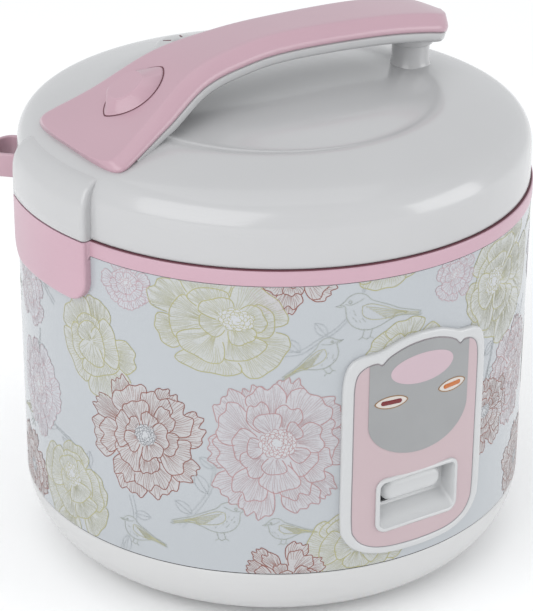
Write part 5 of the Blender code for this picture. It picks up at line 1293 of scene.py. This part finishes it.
def button_ring(outward, rise, share_x=1.0, share_y=1.0, power=1.45, ahead=0.0, aside=0.0):
    """Ring of the button's pointed oval, following the handle's crest."""
    points = []
    for k in range(BUTTON_POINTS):
        angle = math.tau * k / BUTTON_POINTS
        across = math.copysign(abs(math.sin(angle)) ** power, math.sin(angle))
        x = BUTTON_OVAL_X + ahead + (0.0160 + outward) * share_x * math.cos(angle)
        points.append((x, aside + (0.0130 + outward) * share_y * across, crest_at(x)[0] + rise))
    return points


def make_button():
    """Pointed oval button with a raised, faceted block whose steep side faces the lid's edge."""
    rows = [button_ring(0.0, -0.0040), button_ring(0.0, 0.0003), button_ring(-0.0004, 0.0007),
            button_ring(0.0, 0.0010, 0.955, 0.955),
            button_ring(0.0, 0.0062, 0.54, 0.72, 0.72, -0.0042, 0.0010),
            button_ring(0.0, 0.0068, 0.50, 0.65, 0.7, -0.0042, 0.0011),
            button_ring(0.0, 0.0069, 0.25, 0.30, 0.7, -0.0042, 0.0011)]
    shape = lofted(rows)
    low = crest_at(BUTTON_CENTRE_X)[0] - 0.0040
    rod(0.0025, (BUTTON_CENTRE_X, 0, 0.2302), (BUTTON_CENTRE_X, 0, low + 0.001), target=shape)
    add_piece("lid_button", shape, "button", PINK, ["release_button"], sharp=24)
    # A thin dark ring of painted shade in the gap round the button.
    gap = [button_ring(outward, rise) for outward, rise in ((0.0001, 0.0002), (0.0001, 0.00035),
                                                            (0.0006, 0.00035), (0.0006, 0.0002))]
    add_piece("button_gap_shade", lofted(list(zip(*gap)), closed=True), "lid", GAP_SHADE)


# ---------------------------------------------------------------- back and small CAD parts


def make_inlet():
    """Socket for the power cord: a rounded flange with a stepped mouth, on the CAD pins."""
    outer = [rounded_rectangle(-0.0160 + k, 0.0160 - k, INLET_Z - 0.0120 + k, INLET_Z + 0.0120 - k, 0.0035 - k)
             for k in (0.0, 0.0, 0.0006, 0.0012)]
    mouth = [rounded_rectangle(-0.0120 - k, 0.0120 + k, INLET_Z - 0.0080 - k, INLET_Z + 0.0080 + k, 0.0020 + k)
             for k in (0.0008, 0.0, 0.0)]
    steps_back = (INLET_FACE_Y - 0.1316, 0.0008, 0.0001, 0.0, 0.0, 0.0008, INLET_FACE_Y - 0.1185)
    shape = bmesh.new()
    rings = skinned(shape, [[(x, INLET_FACE_Y - back, z) for x, z in loop]
                            for back, loop in zip(steps_back, outer + mouth)])
    shape.faces.new(rings[-1])
    add_piece("cord_socket", shape, "root", BLACK, ["power_inlet"], sharp=45)


# The CAD nodes that are shown as they are, with the finish of each
CARRIED_OVER = (
    (STEEL, ("base_screw_1", "base_screw_2", "base_screw_3", "heater_leg_1", "heater_leg_2", "heater_leg_3",
             "latch_catch", "sensor_cup", "sensor_spring", "lever_pin", "lever_bracket", "hinge_pin",
             "latch_pin", "handle_screw")),
    (ALUMINIUM, ("side_heater", "sensor_cap")),
    (BLACK, ("micro_switch", "magnet_cup")),
    (CREAM, ("terminal_block", "latch_hook")),
    (BRASS, ("thermal_fuse", "inlet_pin_1", "inlet_pin_2", "inlet_pin_3")),
    (BOARD, ("lamp_board",)),
    (LAMP_WHITE, ("cook_bulb", "warm_bulb")),
)


def finish_cad_nodes():
    """Gives these nodes their finish and, by a modifier only, slightly rounded edges."""
    for finish, names in CARRIED_OVER:
        for name in names:
            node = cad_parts[name]
            node.data.materials.clear()
            node.data.materials.append(finish)
            edge = node.modifiers.new("rounded_edges", "BEVEL")
            edge.width = CAD_EDGE_ROUNDING
            edge.segments = 2
            edge.limit_method = "ANGLE"
            edge.angle_limit = math.radians(32)
            edge.harden_normals = False


# ---------------------------------------------------------------- studio


def make_stage():
    """Plain pale floor, wide enough to fill the picture."""
    shape = bmesh.new()
    reach = 14.0
    grid = [[shape.verts.new((x, y, 0.0)) for x in (-reach, reach)] for y in (-reach, reach)]
    shape.faces.new((grid[0][0], grid[0][1], grid[1][1], grid[1][0]))
    floor = object_of("studio_floor", shape)
    floor.data.materials.append(finish_of("studio_paper", (0.98, 0.98, 0.98), 0.9, 0.004, patch=0.5, bump=0.0,
                                          specular=0.0))


def add_softbox(name, position, target, size, watts):
    """A square area light that faces its target."""
    light = bpy.data.lights.new(name, "AREA")
    light.shape = "RECTANGLE"
    light.size = light.size_y = size
    light.energy = watts
    lamp = bpy.data.objects.new(name, light)
    lamp.location = position
    lamp.rotation_euler = (Vector(target) - Vector(position)).to_track_quat("-Z", "Y").to_euler()
    bpy.context.scene.collection.objects.link(lamp)


def make_lights():
    """Soft light from all round, with three softboxes for the shine."""
    world = bpy.data.worlds.new("studio_light")
    world.use_nodes = True
    background = world.node_tree.nodes["Background"]
    background.inputs["Color"].default_value = (0.97, 0.985, 1.0, 1.0)
    background.inputs["Strength"].default_value = 0.84
    bpy.context.scene.world = world
    middle = (0.0, 0.0, 0.12)
    add_softbox("left_softbox", (-1.7, -0.7, 1.1), middle, 1.9, 21.0)
    add_softbox("right_softbox", (1.5, -1.5, 0.55), middle, 1.4, 15.0)
    add_softbox("top_softbox", (0.1, 0.3, 2.1), middle, 1.6, 4.0)
    bpy.context.scene.view_settings.view_transform = "Standard"


def make_camera():
    """The photo's view: from the front left and above, turned very slightly about its line of sight."""
    azimuth, elevation, distance, roll = math.radians(-32.8), math.radians(25.47), 1.2655, 0.0074
    right = Vector((math.cos(azimuth), math.sin(azimuth), 0.0))
    target = Vector((0.0, 0.0, 0.1235)) - right * 0.0034
    back = Vector((math.sin(azimuth) * math.cos(elevation), -math.cos(azimuth) * math.cos(elevation),
                   math.sin(elevation)))
    data = bpy.data.cameras.new("camera")
    data.lens = 141.2
    data.sensor_width = 36.0
    data.clip_start, data.clip_end = 0.05, 50.0
    camera = bpy.data.objects.new("camera", data)
    bpy.context.scene.collection.objects.link(camera)
    camera.location = target + back * distance
    facing = (-back).to_track_quat("-Z", "Y").to_matrix().to_4x4()
    camera.rotation_euler = (facing @ Matrix.Rotation(roll, 4, "Z")).to_euler()
    bpy.context.scene.camera = camera


make_stage()
make_lights()
make_camera()
make_base()
make_sleeve()
make_ring()
make_scoop_holder()
make_print()
make_bezel()
make_face()
make_badge()
make_lamp("cook", -7.6, RED_LENS)
make_lamp("warm", 7.9, ORANGE_LENS)
make_recess()
make_lever()
make_lid()
make_vent()
make_lid_inside()
make_inside()
make_handle()
make_button()
make_inlet()
finish_cad_nodes()
